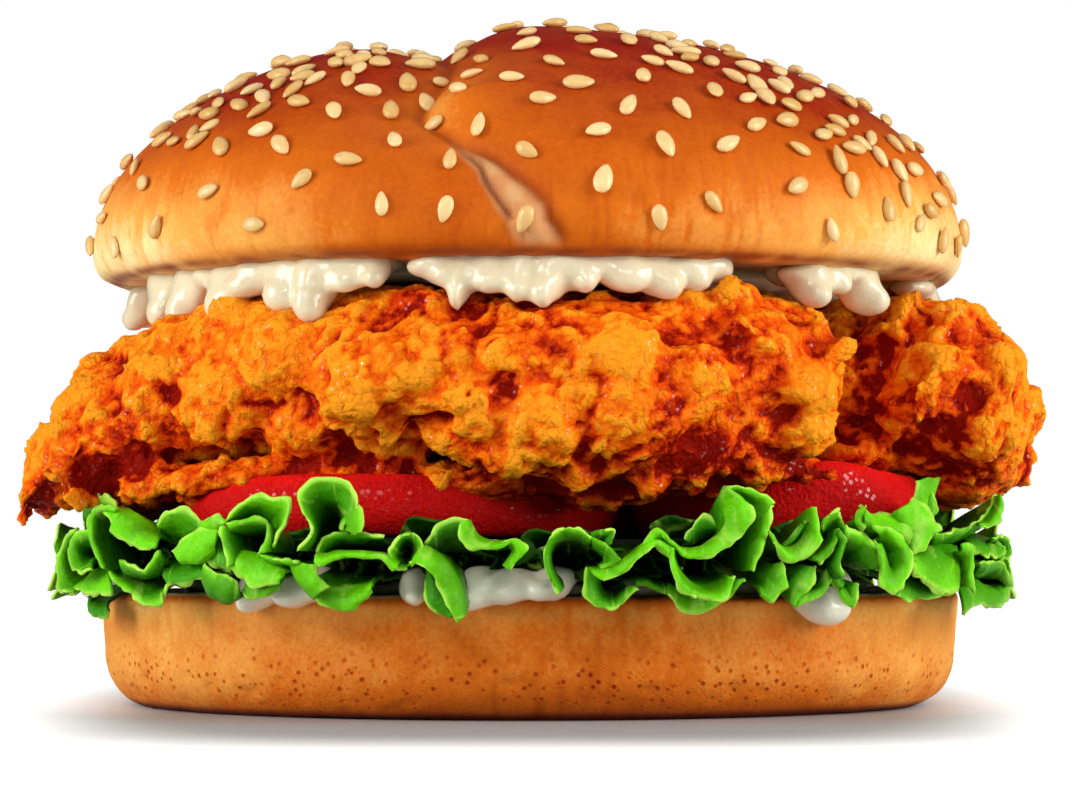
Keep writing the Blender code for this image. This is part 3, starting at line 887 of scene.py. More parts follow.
def make_heel(bun):
    """Shapes the heel and stores how well each point is baked, with painted light mixed in."""
    corner = (5.5, 6.0)
    rim = 0.9
    base = HEEL_RADIUS - 0.4 - corner[0]
    profile = line((0.0, 0.0), (base, 0.0), 8)
    profile += arc((base, corner[1]), corner, -90, 0, 18)
    profile += line((base + corner[0], corner[1]), (HEEL_RADIUS, HEEL_HEIGHT - rim), 20)[1:]
    profile += arc((HEEL_RADIUS - rim, HEEL_HEIGHT - rim), (rim, rim), 0, 90, 5)
    profile += line((HEEL_RADIUS - rim, HEEL_HEIGHT), (0.0, HEEL_HEIGHT), 10)[1:] + [(0.0, HEEL_HEIGHT)]
    mesh = turned(profile, bun.steps, "bun_heel_looks")
    points = read_points(mesh)
    normals = read_normals(mesh)
    height = points[:, 2]
    bearing = bearings_of(points)
    side = smooth((radii_of(points) - base) / 2.0)
    offset = 0.35 * lumps(points, 24.0, 105) + 0.16 * rough(points, 7.0, 2, 109)
    wrinkle = upright_wrinkles(bearing, height, 0.13, 1.3, 121)
    crinkled = smooth(lumps(points, 18.0, 133) * 1.4 + 0.35)
    offset -= 0.17 * crinkled * (1.0 - smooth(wrinkle * 5.0))
    offset += 0.07 * rough(points, 1.8, 2, 141)
    offset -= 0.30 * (cobbles(points, 2.4, 151) > 0.78) * bell(height - 4.0, 3.0)
    offset *= np.where(height < 0.05, 0.0, 1.0)
    points += normals * (offset * side)[:, None]
    points[:, 2] = np.maximum(points[:, 2], 0.0)
    write_points(mesh, points)
    # Paler on the flanks, partly as sides that baked least and partly as painted light from the side lamps.
    bake_and_painted_light = 0.50 - 0.20 * on_flanks(bearing) + 0.16 * smooth((5.0 - height) / 5.0)
    bake_and_painted_light += 0.10 * rough(points, 20.0, 3, 161)
    bake_and_painted_light += 0.07 * rough(points, 3.2, 2, 171)
    bake_and_painted_light += 0.30 * bell(height - HEEL_HEIGHT, 0.7) - 0.10 * bell(height - HEEL_HEIGHT + 1.6, 1.2)
    bake_and_painted_light += 0.10 * crinkled * (1.0 - smooth(wrinkle * 6.0))
    paint(mesh, "bake_and_painted_light", bake_and_painted_light)
    paint(mesh, "cut_face", smooth((height - HEEL_HEIGHT + 0.25) / 0.2))
    paint(mesh, "scorch", 1.0 - smooth((height - 0.25) / 0.9))
    paint(mesh, "pore_band", bell(height - 4.2, 2.6))
    return mesh


def heel_material(bun):
    """Matt baked side of the heel, with a band of pores, a scorched base line and flanks painted paler,
    partly as painted light.
    """
    material, tree, shader = start_material("bun heel", 0.6, specular_ior_level=0.08)
    patches = use_group(tree, "Mottle", Size=6.0, Amount=0.12, Detail=4.0, Seed=3.0)
    flecks = use_group(tree, "Mottle", Size=0.55, Amount=0.13, Detail=3.0, Seed=7.0)
    band = attribute(tree, "pore_band")
    pores = use_group(tree, "Pits", Size=1.15, Depth=0.16, Cover=0.30, Seed=4.0)
    small_pores = use_group(tree, "Pits", Size=0.62, Depth=0.07, Cover=0.26, Seed=6.0)
    in_band = math_node(tree, "MULTIPLY", pores.outputs["Mask"], band)
    tone = sum_of(tree, attribute(tree, "bake_and_painted_light"), patches.outputs["Value"], flecks.outputs["Value"],
                  math_node(tree, "MULTIPLY", in_band, 0.42))
    colour = layered(tree, baked_colour(tree, bun, tone), (attribute(tree, "cut_face"), (0.80, 0.55, 0.27)),
                     (attribute(tree, "scorch"), (0.16, 0.02, 0.008)))
    skin = use_group(tree, "Grain", Size=0.8, Depth=0.05, Detail=5.0)
    deep = math_node(tree, "MULTIPLY", pores.outputs["Height"], band)
    height = sum_of(tree, skin.outputs["Height"], deep, small_pores.outputs["Height"])
    finish_surface(tree, shader, colour, height)
    return material


# Where sesame seeds lie closest, as (bearing, climb, spread in mm).
SEED_DRIFTS = (
    (300, 46, 9.5), (308, 37, 7.5), (313, 28, 7.5), (319, 20, 7.5), (325, 12, 7.0), (332, 5, 6.0),
    (238, 45, 9.0), (228, 38, 7.0), (218, 30, 6.0), (60, 50, 9.0), (130, 35, 8.0), (190, 40, 7.0),
)
# How many places are tried for a seed.
SEED_TRIES = 9000
# Gap between seeds, what a drift takes off it and what the flank adds, in mm, and where the flank ends.
SEED_GAP = 5.3
DRIFT_GAP = 3.1
FLANK_GAP = 1.2
FLANK_CLIMB = 14.0


def seed_places(bun, rng):
    """Scattered (bearing, climb) places for the seeds, closer together in the drifts."""
    drifts = [(dome_point(bun, bearing, climb), spread) for bearing, climb, spread in SEED_DRIFTS]
    chosen = []
    for _ in range(SEED_TRIES):
        bearing = rng.uniform(0.0, 360.0)
        climb = math.degrees(math.asin(rng.uniform(-0.03, 1.0)))
        place = dome_point(bun, bearing, climb)
        drift = max(math.exp(-((place - middle).length / spread) ** 2) for middle, spread in drifts)
        gap = SEED_GAP - DRIFT_GAP * drift + rng.uniform(-0.6, 0.9)
        if climb < FLANK_CLIMB:
            gap += FLANK_GAP
        if all((place - other).length > gap for other, _bearing, _climb in chosen):
            chosen.append((place, bearing, climb))
    return [(bearing, climb) for _place, bearing, climb in chosen]


def in_order(points, faces):
    """Puts points in a fixed order, which a new sphere's points don't keep from run to run."""
    order = np.lexsort(np.round(points, 4).T)
    places = np.argsort(order).tolist()
    return points[order], sorted([places[index] for index in face] for face in faces)


def seed_shape():
    """Points and faces of one teardrop seed of length 1, its tip towards +X."""
    width = 0.60
    thickness = 0.36
    bm = bmesh.new()
    bmesh.ops.create_uvsphere(bm, u_segments=10, v_segments=7, radius=0.5)
    points, faces = in_order(*shape_of(bm))
    x, y, z = points[:, 2], points[:, 0], points[:, 1]
    narrow = 1.0 - 0.42 * (x + 0.5) ** 2.2
    return np.stack([x, width * y * narrow, thickness * z * narrow], axis=-1), faces


def lying(normal, heading, rng):
    """A turn that lays a seed on a surface, nearly flat and with its tip at a heading."""
    up = Vector((0.0, 1.0, 0.0)) if abs(normal.z) > 0.95 else Vector((0.0, 0.0, 1.0))
    along = Matrix.Rotation(heading, 3, normal) @ normal.cross(up).normalized()
    turn = Matrix((along, normal.cross(along), normal)).transposed()
    turn = turn @ Matrix.Rotation(rng.uniform(-0.16, 0.16), 3, "Y")
    return turn @ Matrix.Rotation(rng.uniform(-0.3, 0.3), 3, "X")


def make_seeds(bun, crown):
    """Scatters the sesame seeds over the crown as one joined mesh."""
    rng = np.random.default_rng(seed=20)
    surface = BVHTree.FromObject(crown, bpy.context.evaluated_depsgraph_get())
    axis = Vector((BUN_AXIS[0] * MM, BUN_AXIS[1] * MM, 0.0))
    low_middle = Vector((0.0, 0.0, 0.6 * CROWN_UNDERSIDE * MM))
    points, faces = seed_shape()
    seeds = []
    for bearing, climb in seed_places(bun, rng):
        target = dome_point(bun, bearing, climb) * MM
        outward = (target - low_middle).normalized()
        hit, normal, _face, _distance = surface.ray_cast(target + axis + outward * 0.02, -outward)
        if hit is None:
            continue
        length = bun.seed_length * rng.uniform(0.86, 1.12)
        wide = length * rng.uniform(0.92, 1.12)
        thick = length * rng.uniform(0.9, 1.2)
        place = (hit - axis) / MM + normal * (0.13 * thick)
        turn = lying(normal, rng.uniform(0.0, math.tau), rng)
        seeds.append((posed(points, place, turn, (length, wide, thick)), faces))
    mesh = joined(seeds, "sesame_seeds")
    paint(mesh, "seed_tone", np.repeat(rng.uniform(0.0, 1.0, len(seeds)), len(points)))
    return mesh


def seed_material(bun):
    """Glossy ivory seeds, each a little darker or paler than the next."""
    material, tree, shader = start_material("sesame seed", 0.3, specular_ior_level=0.4, coat_weight=0.15)
    mottle = use_group(tree, "Mottle", Size=1.3, Amount=0.35, Detail=2.0, Seed=8.0)
    tone = math_node(tree, "ADD", attribute(tree, "seed_tone"), mottle.outputs["Value"], clamp=True)
    shade = tinted(bun.seed_colour, (0.86, 0.72, 0.50))
    pale = tinted(bun.seed_colour, (1.10, 1.15, 1.35))
    skin = use_group(tree, "Grain", Size=0.6, Depth=0.015, Detail=2.0)
    finish_surface(tree, shader, mix_colours(tree, tone, shade, pale), skin.outputs["Height"])
    return material


# ---------------------------------------------------------------- fried chicken

# Crust pieces of the large fillet's front as (across, height, half width, half height, stand-out).
LARGE_FLAKES = (
    (9.3, 39, 4.9, 4.6, 1.9), (3, 41, 4, 3.4, 1.5), (-11.5, 44.5, 4.2, 3, 1.6),
    (22.5, 44.8, 3.8, 2.8, 1.6), (-8, 38.6, 3.8, 3.4, 1.8), (-2.6, 37.5, 3.6, 3.8, 1.9),
    (-5.8, 32.6, 4.4, 3.8, 2.2), (0.8, 31.6, 4.6, 4.2, 2), (-2.8, 27.6, 3.8, 2.6, 1.6),
    (10.5, 30.5, 6.4, 5.4, 1.6), (17.8, 34.8, 4.8, 5, 1.5), (25, 40.5, 4.2, 3.8, 2.4),
    (27.6, 35.2, 4, 3.6, 2.6), (28.2, 30, 3.8, 3.2, 2.4), (24.5, 26.4, 3.8, 2.6, 1.8),
    (-18, 36.5, 6.4, 5.2, 1.4), (-27, 39, 5.4, 4.4, 1.3), (-34, 33.5, 6.8, 4.8, 1.4),
    (-24.5, 29.5, 5.6, 3.8, 1.5), (-42, 36.5, 5, 3.8, 1.3), (-46.5, 30, 4.8, 4, 1.4),
    (-14.5, 28.2, 4.4, 2.6, 1.2), (-39, 27.2, 4.6, 2.6, 1.4), (-52, 28, 3.6, 4.2, 1.2),
    (-20.6, 25.6, 1.8, 1.7, 1.6), (12.8, 24.4, 2.3, 1.9, 1.8), (16.8, 24.2, 2, 1.7, 1.6),
    (-37.5, 24.6, 2.6, 1.8, 1.4), (-31, 24.8, 2, 1.5, 1.4), (5, 25, 2.6, 1.8, 1.4),
)
# Dark gaps in the large fillet's crust as (across, height, half width, half height, depth).
LARGE_GAPS = (
    (-12, 30, 2.8, 0.9, 2.6), (-11, 46, 2.6, 1, 1.2), (-46.2, 38.7, 1.4, 0.9, 0.9),
    (-39.5, 34.9, 1.6, 1.1, 1), (6, 35, 2.6, 0.7, 0.7), (-22, 43.5, 2.6, 1, 1),
)
# Where the large fillet's crust is paler (above 0) or darker, as (across, height, half sizes, change). The
# darker spots are partly the crust's own tone and partly painted shade in its gaps and along its bottom.
LARGE_TINTS = (
    (8.7, 38.9, 4.6, 4.6, 0.34), (-12, 33.5, 3.2, 4.6, 0.3), (-7, 36.8, 1.8, 4.4, 0.22),
    (4.6, 32.4, 2.6, 2.4, 0.18), (20.5, 33, 4.2, 3.2, 0.3), (29.2, 35.5, 2.6, 6, 0.32),
    (21.6, 44.6, 3.6, 1.8, 0.22), (7, 43.6, 4.4, 1.5, 0.16), (-23.7, 39.4, 5, 2.6, 0.16),
    (-35, 24.3, 3, 1.4, 0.3), (-40.2, 24.8, 2.4, 1.4, 0.3), (-20.6, 25.6, 1.8, 1.7, 0.3),
    (12.8, 24.4, 2.2, 1.8, 0.42), (16.8, 24.2, 1.8, 1.6, 0.25), (5, 25, 2.6, 1.6, 0.34),
    (15.4, 32, 1.8, 3.4, -0.2), (23.5, 27.2, 8, 2.8, -0.34), (2, 30.6, 1.8, 3.6, -0.2),
    (-5.2, 27.4, 3, 2.8, -0.24), (-11.5, 45, 4.2, 2, -0.4), (-46.2, 38.7, 1.8, 1.2, -0.4),
    (-39.5, 34.9, 2, 1.4, -0.5), (-38.5, 30.6, 2.2, 2.8, -0.2), (-56, 22.8, 3, 2.4, -0.2),
    (-24.5, 25.6, 7, 1.8, -0.2), (-30, 34, 3, 2, -0.14), (-40, 40, 4, 2, -0.1),
    (17.5, 38, 3.6, 1.4, -0.16),
)
# The same for the front of the small fillet.
SMALL_FLAKES = (
    (44.5, 38, 5, 4.6, 1.8), (53, 38.6, 4, 4.2, 1.8), (50.5, 31, 4.6, 4, 1.8), (57, 33.5, 3, 3.8, 1.8),
    (56.5, 27, 3.4, 3, 1.8), (44, 28, 4.2, 3.6, 1.2), (47.5, 44, 4.4, 3, 1.4), (40, 34, 3.4, 5, 0.9),
)
SMALL_GAPS = (
    (48.6, 34.6, 1.2, 1.8, 0.8), (46, 41.6, 2.4, 0.8, 0.8),
)
# The small fillet's darker spots include painted shade on its left side, beside the large fillet, and on
# its low front.
SMALL_TINTS = (
    (41.8, 36.6, 4.2, 3.6, 0.3), (50.5, 29.6, 3.2, 4, 0.26), (54, 35, 2.6, 4.4, 0.12),
    (45.5, 44.2, 5, 1.8, 0.12), (36, 34, 4.4, 9, -0.5), (41.5, 27, 7, 4, -0.28), (47, 31, 5, 1.3, -0.26),
    (48.4, 35, 1.4, 3.4, -0.2), (41, 42, 3.4, 1.8, -0.2),
)
# Bodies that fill the fillets out where they droop or meet, as (place, half sizes).
LARGE_FILLERS = (
    ((-47.5, -14, 36), (4.4, 6, 3.6)), ((-54, -14, 27), (4.6, 4.6, 6)), ((-48, -18, 31), (6.5, 5, 6)),
    ((-47, -21, 25.6), (5, 4.5, 3)), ((-41, -27, 25), (4.5, 4, 2.8)), ((-51, -8, 26.4), (4.6, 5.6, 3.4)),
    ((-35, -31, 25), (4.5, 3.8, 2.6)), ((-46, 4, 25.6), (5, 9, 2.8)), ((-42, 22, 25.2), (5, 8, 2.8)),
    ((-12, 5, 26.8), (37, 35, 1.7)), ((14, 5, 26.8), (24, 34, 1.7)), ((-24, 38, 25), (9, 4.5, 2.8)),
    ((-44, -19, 24), (6, 4.6, 3)), ((-49, -10, 24.2), (5, 6, 3.2)), ((-29, -33, 25.6), (8, 4, 2.4)),
    ((-17, -36, 25.2), (9, 4.5, 2.6)), ((-4, -38, 24.8), (9, 4.5, 2.9)), ((8, -38, 24.4), (8, 4.2, 3)),
    ((19, -36, 25), (7.5, 4.2, 2.8)), ((27, -31, 25.8), (6, 4.5, 2.6)), ((-14, 8, 45.6), (20, 22, 2.4)),
    ((14, 10, 45.6), (18, 24, 2.4)), ((0, 44, 25.2), (10, 4, 2.8)), ((20, 40, 25.4), (8, 4.5, 2.8)),
)
SMALL_FILLERS = (
    ((38, 6, 44.6), (9, 20, 3.4)), ((35, -2, 36.5), (5, 22, 10)), ((35, 10, 36.5), (5, 22, 10)),
    ((36, -12, 28.8), (7, 14, 3.6)), ((37, 8, 28.4), (7, 16, 3.4)), ((52.5, -12, 28), (5, 6, 4.4)),
    ((49, -15, 25.6), (4.5, 6, 2.6)), ((50, 4, 25.4), (5, 8, 2.6)), ((46, 22, 25.6), (5, 8, 2.6)),
)
# Lumps scattered over the crust as (count, smallest, largest, flatness), with sizes in mm.
LARGE_LUMPS = ((20, 3.6, 6.0, 0.34), (130, 1.8, 3.2, 0.42), (420, 0.8, 1.6, 0.6))
SMALL_LUMPS = ((9, 3.0, 4.6, 0.34), (60, 1.6, 2.8, 0.42), (200, 0.8, 1.5, 0.6))
# How much of the crust's length is kept past a place across, as (place, share). Above 1 lets it out.
LARGE_ENDS = ((-50.0, 0.95), (24.0, 1.22), (35.0, 0.3))
SMALL_ENDS = ((50.0, 0.85),)
# The fillets as (node, piece, flakes, gaps, tints, fillers, lumps, ends, random seed).
FILLETS = (
    ("chicken_large", "fillet_large", LARGE_FLAKES, LARGE_GAPS, LARGE_TINTS, LARGE_FILLERS, LARGE_LUMPS,
     LARGE_ENDS, 501),
    ("chicken_small", "fillet_small", SMALL_FLAKES, SMALL_GAPS, SMALL_TINTS, SMALL_FILLERS, SMALL_LUMPS,
     SMALL_ENDS, 551),
)
# How far from the axis the fillets are pressed flat in the stack, in mm.
PRESSED_RADIUS = 47.0


def random_turn(rng, normal, lean):
    """A turn that lays an egg's third axis along a leaning normal."""
    tilt = normal + Vector(rng.normal(0.0, lean, 3))
    turn = tilt.normalized().to_track_quat("Z", "Y").to_matrix()
    return turn @ Matrix.Rotation(rng.uniform(0.0, math.tau), 3, "Z")


def scatter_on(points, normals, areas, count, rng):
    """Picks random faces by area and gives a place and normal on each."""
    chosen = rng.choice(len(areas), size=count, p=areas / areas.sum())
    return [(Vector(points[index]), Vector(normals[index])) for index in chosen]


def open_faces(bm):
    """Centres, normals and areas of a fillet's faces that aren't pressed flat in the stack."""
    bm.faces.ensure_lookup_table()
    points = np.array([face.calc_center_median() for face in bm.faces])
    normals = np.array([face.normal for face in bm.faces])
    areas = np.array([face.calc_area() for face in bm.faces])
    pressed = (np.abs(normals[:, 2]) > 0.85) & (radii_of(points) < PRESSED_RADIUS)
    return points, normals, np.where(pressed, 0.12 * areas, areas)


def crust_lumps(bm, flakes, fillers, scattered, rng):
    """The named flakes and the scattered lumps that stick out of a fillet."""
    half_thickness = 2.6
    surface = BVHTree.FromBMesh(bm)
    points, normals, areas = open_faces(bm)
    fine, coarse = ball(3), ball(2)
    shapes = []
    for place, halves in fillers:
        shapes.append((posed(fine[0], place, Matrix.Identity(3), halves), fine[1]))
    for across, height, half_x, half_z, out in flakes:
        hit, normal, _face, _distance = surface.ray_cast(Vector((across, -90.0, height)), Vector((0, 1, 0)))
        if hit is None:
            hit, normal, _face, _distance = surface.find_nearest(Vector((across, -20.0, height)))
        turn = normal.to_track_quat("Z", "Y").to_matrix()
        place = hit + normal * (out - 2.3)
        shapes.append((posed(fine[0], place, turn, (half_x, half_z, half_thickness)), fine[1]))
    for count, small, large, flat in scattered:
        for place, normal in scatter_on(points, normals, areas, count, rng):
            size = rng.uniform(small, large)
            halves = (size * rng.uniform(0.8, 1.35), size * rng.uniform(0.7, 1.0), size * flat)
            sunk = place - normal * (size * flat * rng.uniform(0.15, 0.75))
            jitter = Vector(rng.normal(0.0, 1.0, 3)) * (0.6 * size)
            sunk += jitter - normal * jitter.dot(normal)
            shapes.append((posed(coarse[0], sunk, random_turn(rng, normal, 0.35), halves), coarse[1]))
    return shapes


def front_spot(points, across, height, half_x, half_z):
    """1 at a place on the front of the crust, falling off over ragged half sizes."""
    moved = points[:, (0, 2)] + 0.9 * np.stack([lumps(points, 2.6, 811), lumps(points, 2.6, 812)], axis=-1)
    off_centre = ((moved[:, 0] - across) / half_x) ** 2 + ((moved[:, 1] - height) / half_z) ** 2
    return np.exp(-off_centre ** 1.5) * (points[:, 1] < 0)


def crust_relief(points, seed):
    """Height and tone of the crust: ragged plates on three scales with grit on top."""
    bent = warped(points, 6.0, 2.2, seed)
    finer = warped(points, 2.4, 0.9, seed + 5)
    wide = rough(bent, 9.5, 4, seed + 11, 0.55)
    middle = rough(finer, 5.0, 4, seed + 21, 0.55)
    small = rough(finer, 2.5, 3, seed + 31, 0.6)
    plates = smooth((wide + 0.06) / 0.13)
    flakes = smooth((middle + 0.02) / 0.14)
    crumbs = smooth((small - 0.02) / 0.22)
    grit = cobbles(finer, 1.5, seed + 41)
    height = 0.60 * plates + 0.45 * flakes * (0.5 + 0.5 * plates) + 0.30 * crumbs
    height += 0.34 * grit * (0.4 + 0.6 * plates) + 0.12 * rough(points, 0.9, 2, seed + 51)
    height += 0.9 * rough(bent, 13.0, 2, seed + 61)
    tone = 0.06 + 0.22 * plates + 0.20 * flakes + 0.12 * crumbs + 0.12 * grit
    tone += 0.30 * rough(points, 14.0, 2, seed + 71)
    return height - 1.0, tone


def make_fillet(node, chicken, flakes, gaps, tints, fillers, scattered, ends, seed):
    """Shapes one fillet's craggy crust from its frame node."""
    rng = np.random.default_rng(seed)
    bm = frame_copy(node)
    shapes = crust_lumps(bm, flakes, fillers, scattered, rng)
    shapes.append(shape_of(bm))
    mesh = welded(shapes, node + "_looks", chicken.voxel)
    points = read_points(mesh)
    points = evened(mesh, points, 1)
    write_points(mesh, points)
    normals = evened(mesh, read_normals(mesh), 3)
    normals /= np.linalg.norm(normals, axis=1)[:, None]
    offset, tone = crust_relief(points, seed)
    offset *= chicken.lump_height
    for across, height, half_x, half_z, depth in gaps:
        offset -= depth * front_spot(points, across, height, half_x, half_z)
    # Tints: paler plates, and darker spots that are partly painted shade.
    for across, height, half_x, half_z, change in tints:
        spot = front_spot(points, across, height, half_x, half_z)
        tone += np.where(change > 0, 0.8, 1.0) * change * spot
        offset *= 1.0 - 0.5 * (change > 0.3) * spot
    # Paler towards the left end as painted light from the left lamp, and darker low down as painted shade.
    tone += 0.09 * smooth((-20.0 - points[:, 0]) / 14.0) - 0.03
    tone -= 0.10 * smooth((31.0 - points[:, 2]) / 4.0) + 0.24 * smooth((28.0 - points[:, 2]) / 3.0)
    points += normals * offset[:, None]
    for limit, keep in ends:
        past = np.maximum(points[:, 0] / limit - 1.0, 0.0) * limit
        points[:, 0] -= (1.0 - keep) * past
    write_points(mesh, points)
    # Raised parts paler and sunken parts darker: painted light and shade on the crust's own tone.
    paint(mesh, "tone", tone + 0.20 * np.clip(standing_out(mesh, 50), -1.5, 1.5))
    # Darker in small hollows: painted shade.
    paint(mesh, "painted_hollow_shade", -standing_out(mesh, 5))
    return mesh


def chicken_material(chicken):
    """Fried crust: gold on its knobs, red-orange in its hollows, with oil and spice flecks; knobs are
    lightened and hollows darkened as painted light and shade, and pale specks are painted glints.
    """
    material, tree, shader = start_material("fried crust", 0.5, specular_ior_level=0.03, coat_roughness=0.1)
    # Hollows darkened: painted shade.
    fine = math_node(tree, "MULTIPLY", attribute(tree, "painted_hollow_shade"), -0.9)
    patches = use_group(tree, "Mottle", Size=4.5, Amount=0.26, Detail=4.0, Seed=11.0)
    flecks = use_group(tree, "Mottle", Size=0.7, Amount=0.20, Detail=3.0, Seed=12.0)
    grit = use_group(tree, "Crumbs", Size=1.25, Depth=0.36)
    dust = use_group(tree, "Crumbs", Size=0.55, Depth=0.16)
    tone = sum_of(tree, attribute(tree, "tone"), fine, patches.outputs["Value"], flecks.outputs["Value"],
                  math_node(tree, "MULTIPLY", grit.outputs["Tone"], 0.26),
                  math_node(tree, "MULTIPLY", dust.outputs["Tone"], 0.16), 0.07)
    tone = math_node(tree, "MULTIPLY_ADD", tone, 1.12, -0.055)
    # The darkest stops are reached where painted shade darkens the hollows and the bottom.
    stops = ((0.0, (0.26, 0.005, 0.0004)), (0.2, tuple(chicken.red)), (0.42, tuple(chicken.orange)),
             (0.66, tuple(chicken.gold)), (1.0, tuple(chicken.pale)))
    spice = specks(tree, 0.7, size=1.7, cover=0.10, seed=13.0)
    # Pale specks: painted glints.
    painted_glint_specks = specks(tree, 0.45, size=0.62, cover=0.07, seed=15.0)
    colour = layered(tree, ramp_node(tree, tone, stops), (spice, (0.22, 0.02, 0.002)),
                     (painted_glint_specks, (1.0, 0.58, 0.22)))
    grain = use_group(tree, "Grain", Size=0.5, Depth=0.10, Detail=3.0)
    heights = [part.outputs["Height"] for part in (grit, dust, grain)]
    finish_surface(tree, shader, colour, sum_of(tree, *heights))
    oil = specks(tree, 0.7, size=0.7, cover=0.34, seed=14.0)
    tree.links.new(oil, shader.inputs["Coat Weight"])
    return material


# ---------------------------------------------------------------- tomato

# Slices as (node, stretch across, swelling), with the swelling on top as (place across, width, rise).
TOMATO_SHAPES = (
    ("tomato_left", 1.085, (-18.0, 14.0, 0.6)),
    ("tomato_middle", 1.0, (7.0, 10.0, 0.4)),
    ("tomato_right", 1.0, (32.5, 7.5, 2.2)),
)


def make_tomato(node, stretch, swelling):
    """Shapes one slice: wet faces, a rounded skin edge and a swelling on top."""
    skin_edge = 2.0
    across, width, rise = swelling
    low, high = node_box_mm(node)
    low[:2] -= BUN_AXIS
    high[:2] -= BUN_AXIS
    centre = (low + high) / 2.0
    radius = (high[0] - low[0]) / 2.0
    half = (high[2] - low[2]) / 2.0
    flat = radius - skin_edge
    profile = line((0.0, -half), (flat, -half), 12)
    profile += arc((flat, 0.0), (skin_edge, half), -90, 90, 18)
    profile += line((flat, half), (0.0, half), 12)[1:] + [(0.0, half)]
    mesh = turned(profile, 220, node + "_looks")
    points = read_points(mesh) + centre
    normals = read_normals(mesh)
    offset = 0.30 * lumps(points, 9.0, 205) + 0.10 * rough(points, 2.2, 3, 211)
    points += normals * offset[:, None]
    swollen = smooth((points[:, 2] - centre[2]) / half) * rise * bell(points[:, 0] - across, width)
    points[:, 0] = low[0] + (points[:, 0] - low[0]) * stretch
    points[:, 2] += swollen
    write_points(mesh, points)
    # The skin edge, which the material darkens, partly as painted shade.
    paint(mesh, "skin", smooth((radii_of(points - centre) - radius + 1.6) / 1.3))
    return mesh


def tomato_material(look):
    """Wet tomato: deep red flesh that glistens, with painted glints in its colour and a darker skin edge
    that is partly painted shade.
    """
    material, tree, shader = start_material("tomato", 0.4, specular_ior_level=0.03, coat_roughness=0.05)
    patches = use_group(tree, "Mottle", Size=2.4, Amount=0.5, Detail=4.0, Seed=21.0)
    tone = math_node(tree, "ADD", patches.outputs["Value"], 0.5, clamp=True)
    flesh = mix_colours(tree, tone, tuple(look.skin), tuple(look.flesh))
    # Glints: painted highlights in the base colour.
    glints = specks(tree, 0.55, size=0.8, cover=0.10, seed=23.0)
    # Darker skin edge: partly the skin's own colour, partly painted shade on the edges under the chicken.
    rim = math_node(tree, "MULTIPLY", attribute(tree, "skin"), 0.5)
    colour = layered(tree, flesh, (glints, (1.0, 0.40, 0.32)), (rim, tinted(look.skin, 0.7)))
    beads = use_group(tree, "Grain", Size=0.5, Depth=0.17, Detail=2.0)
    grain = use_group(tree, "Grain", Size=2.4, Depth=0.12, Detail=2.0)
    finish_surface(tree, shader, colour, sum_of(tree, beads.outputs["Height"], grain.outputs["Height"]))
    juice = specks(tree, 0.7, size=0.8, cover=0.42, seed=22.0)
    tree.links.new(juice, shader.inputs["Coat Weight"])
    return material


# ---------------------------------------------------------------- lettuce

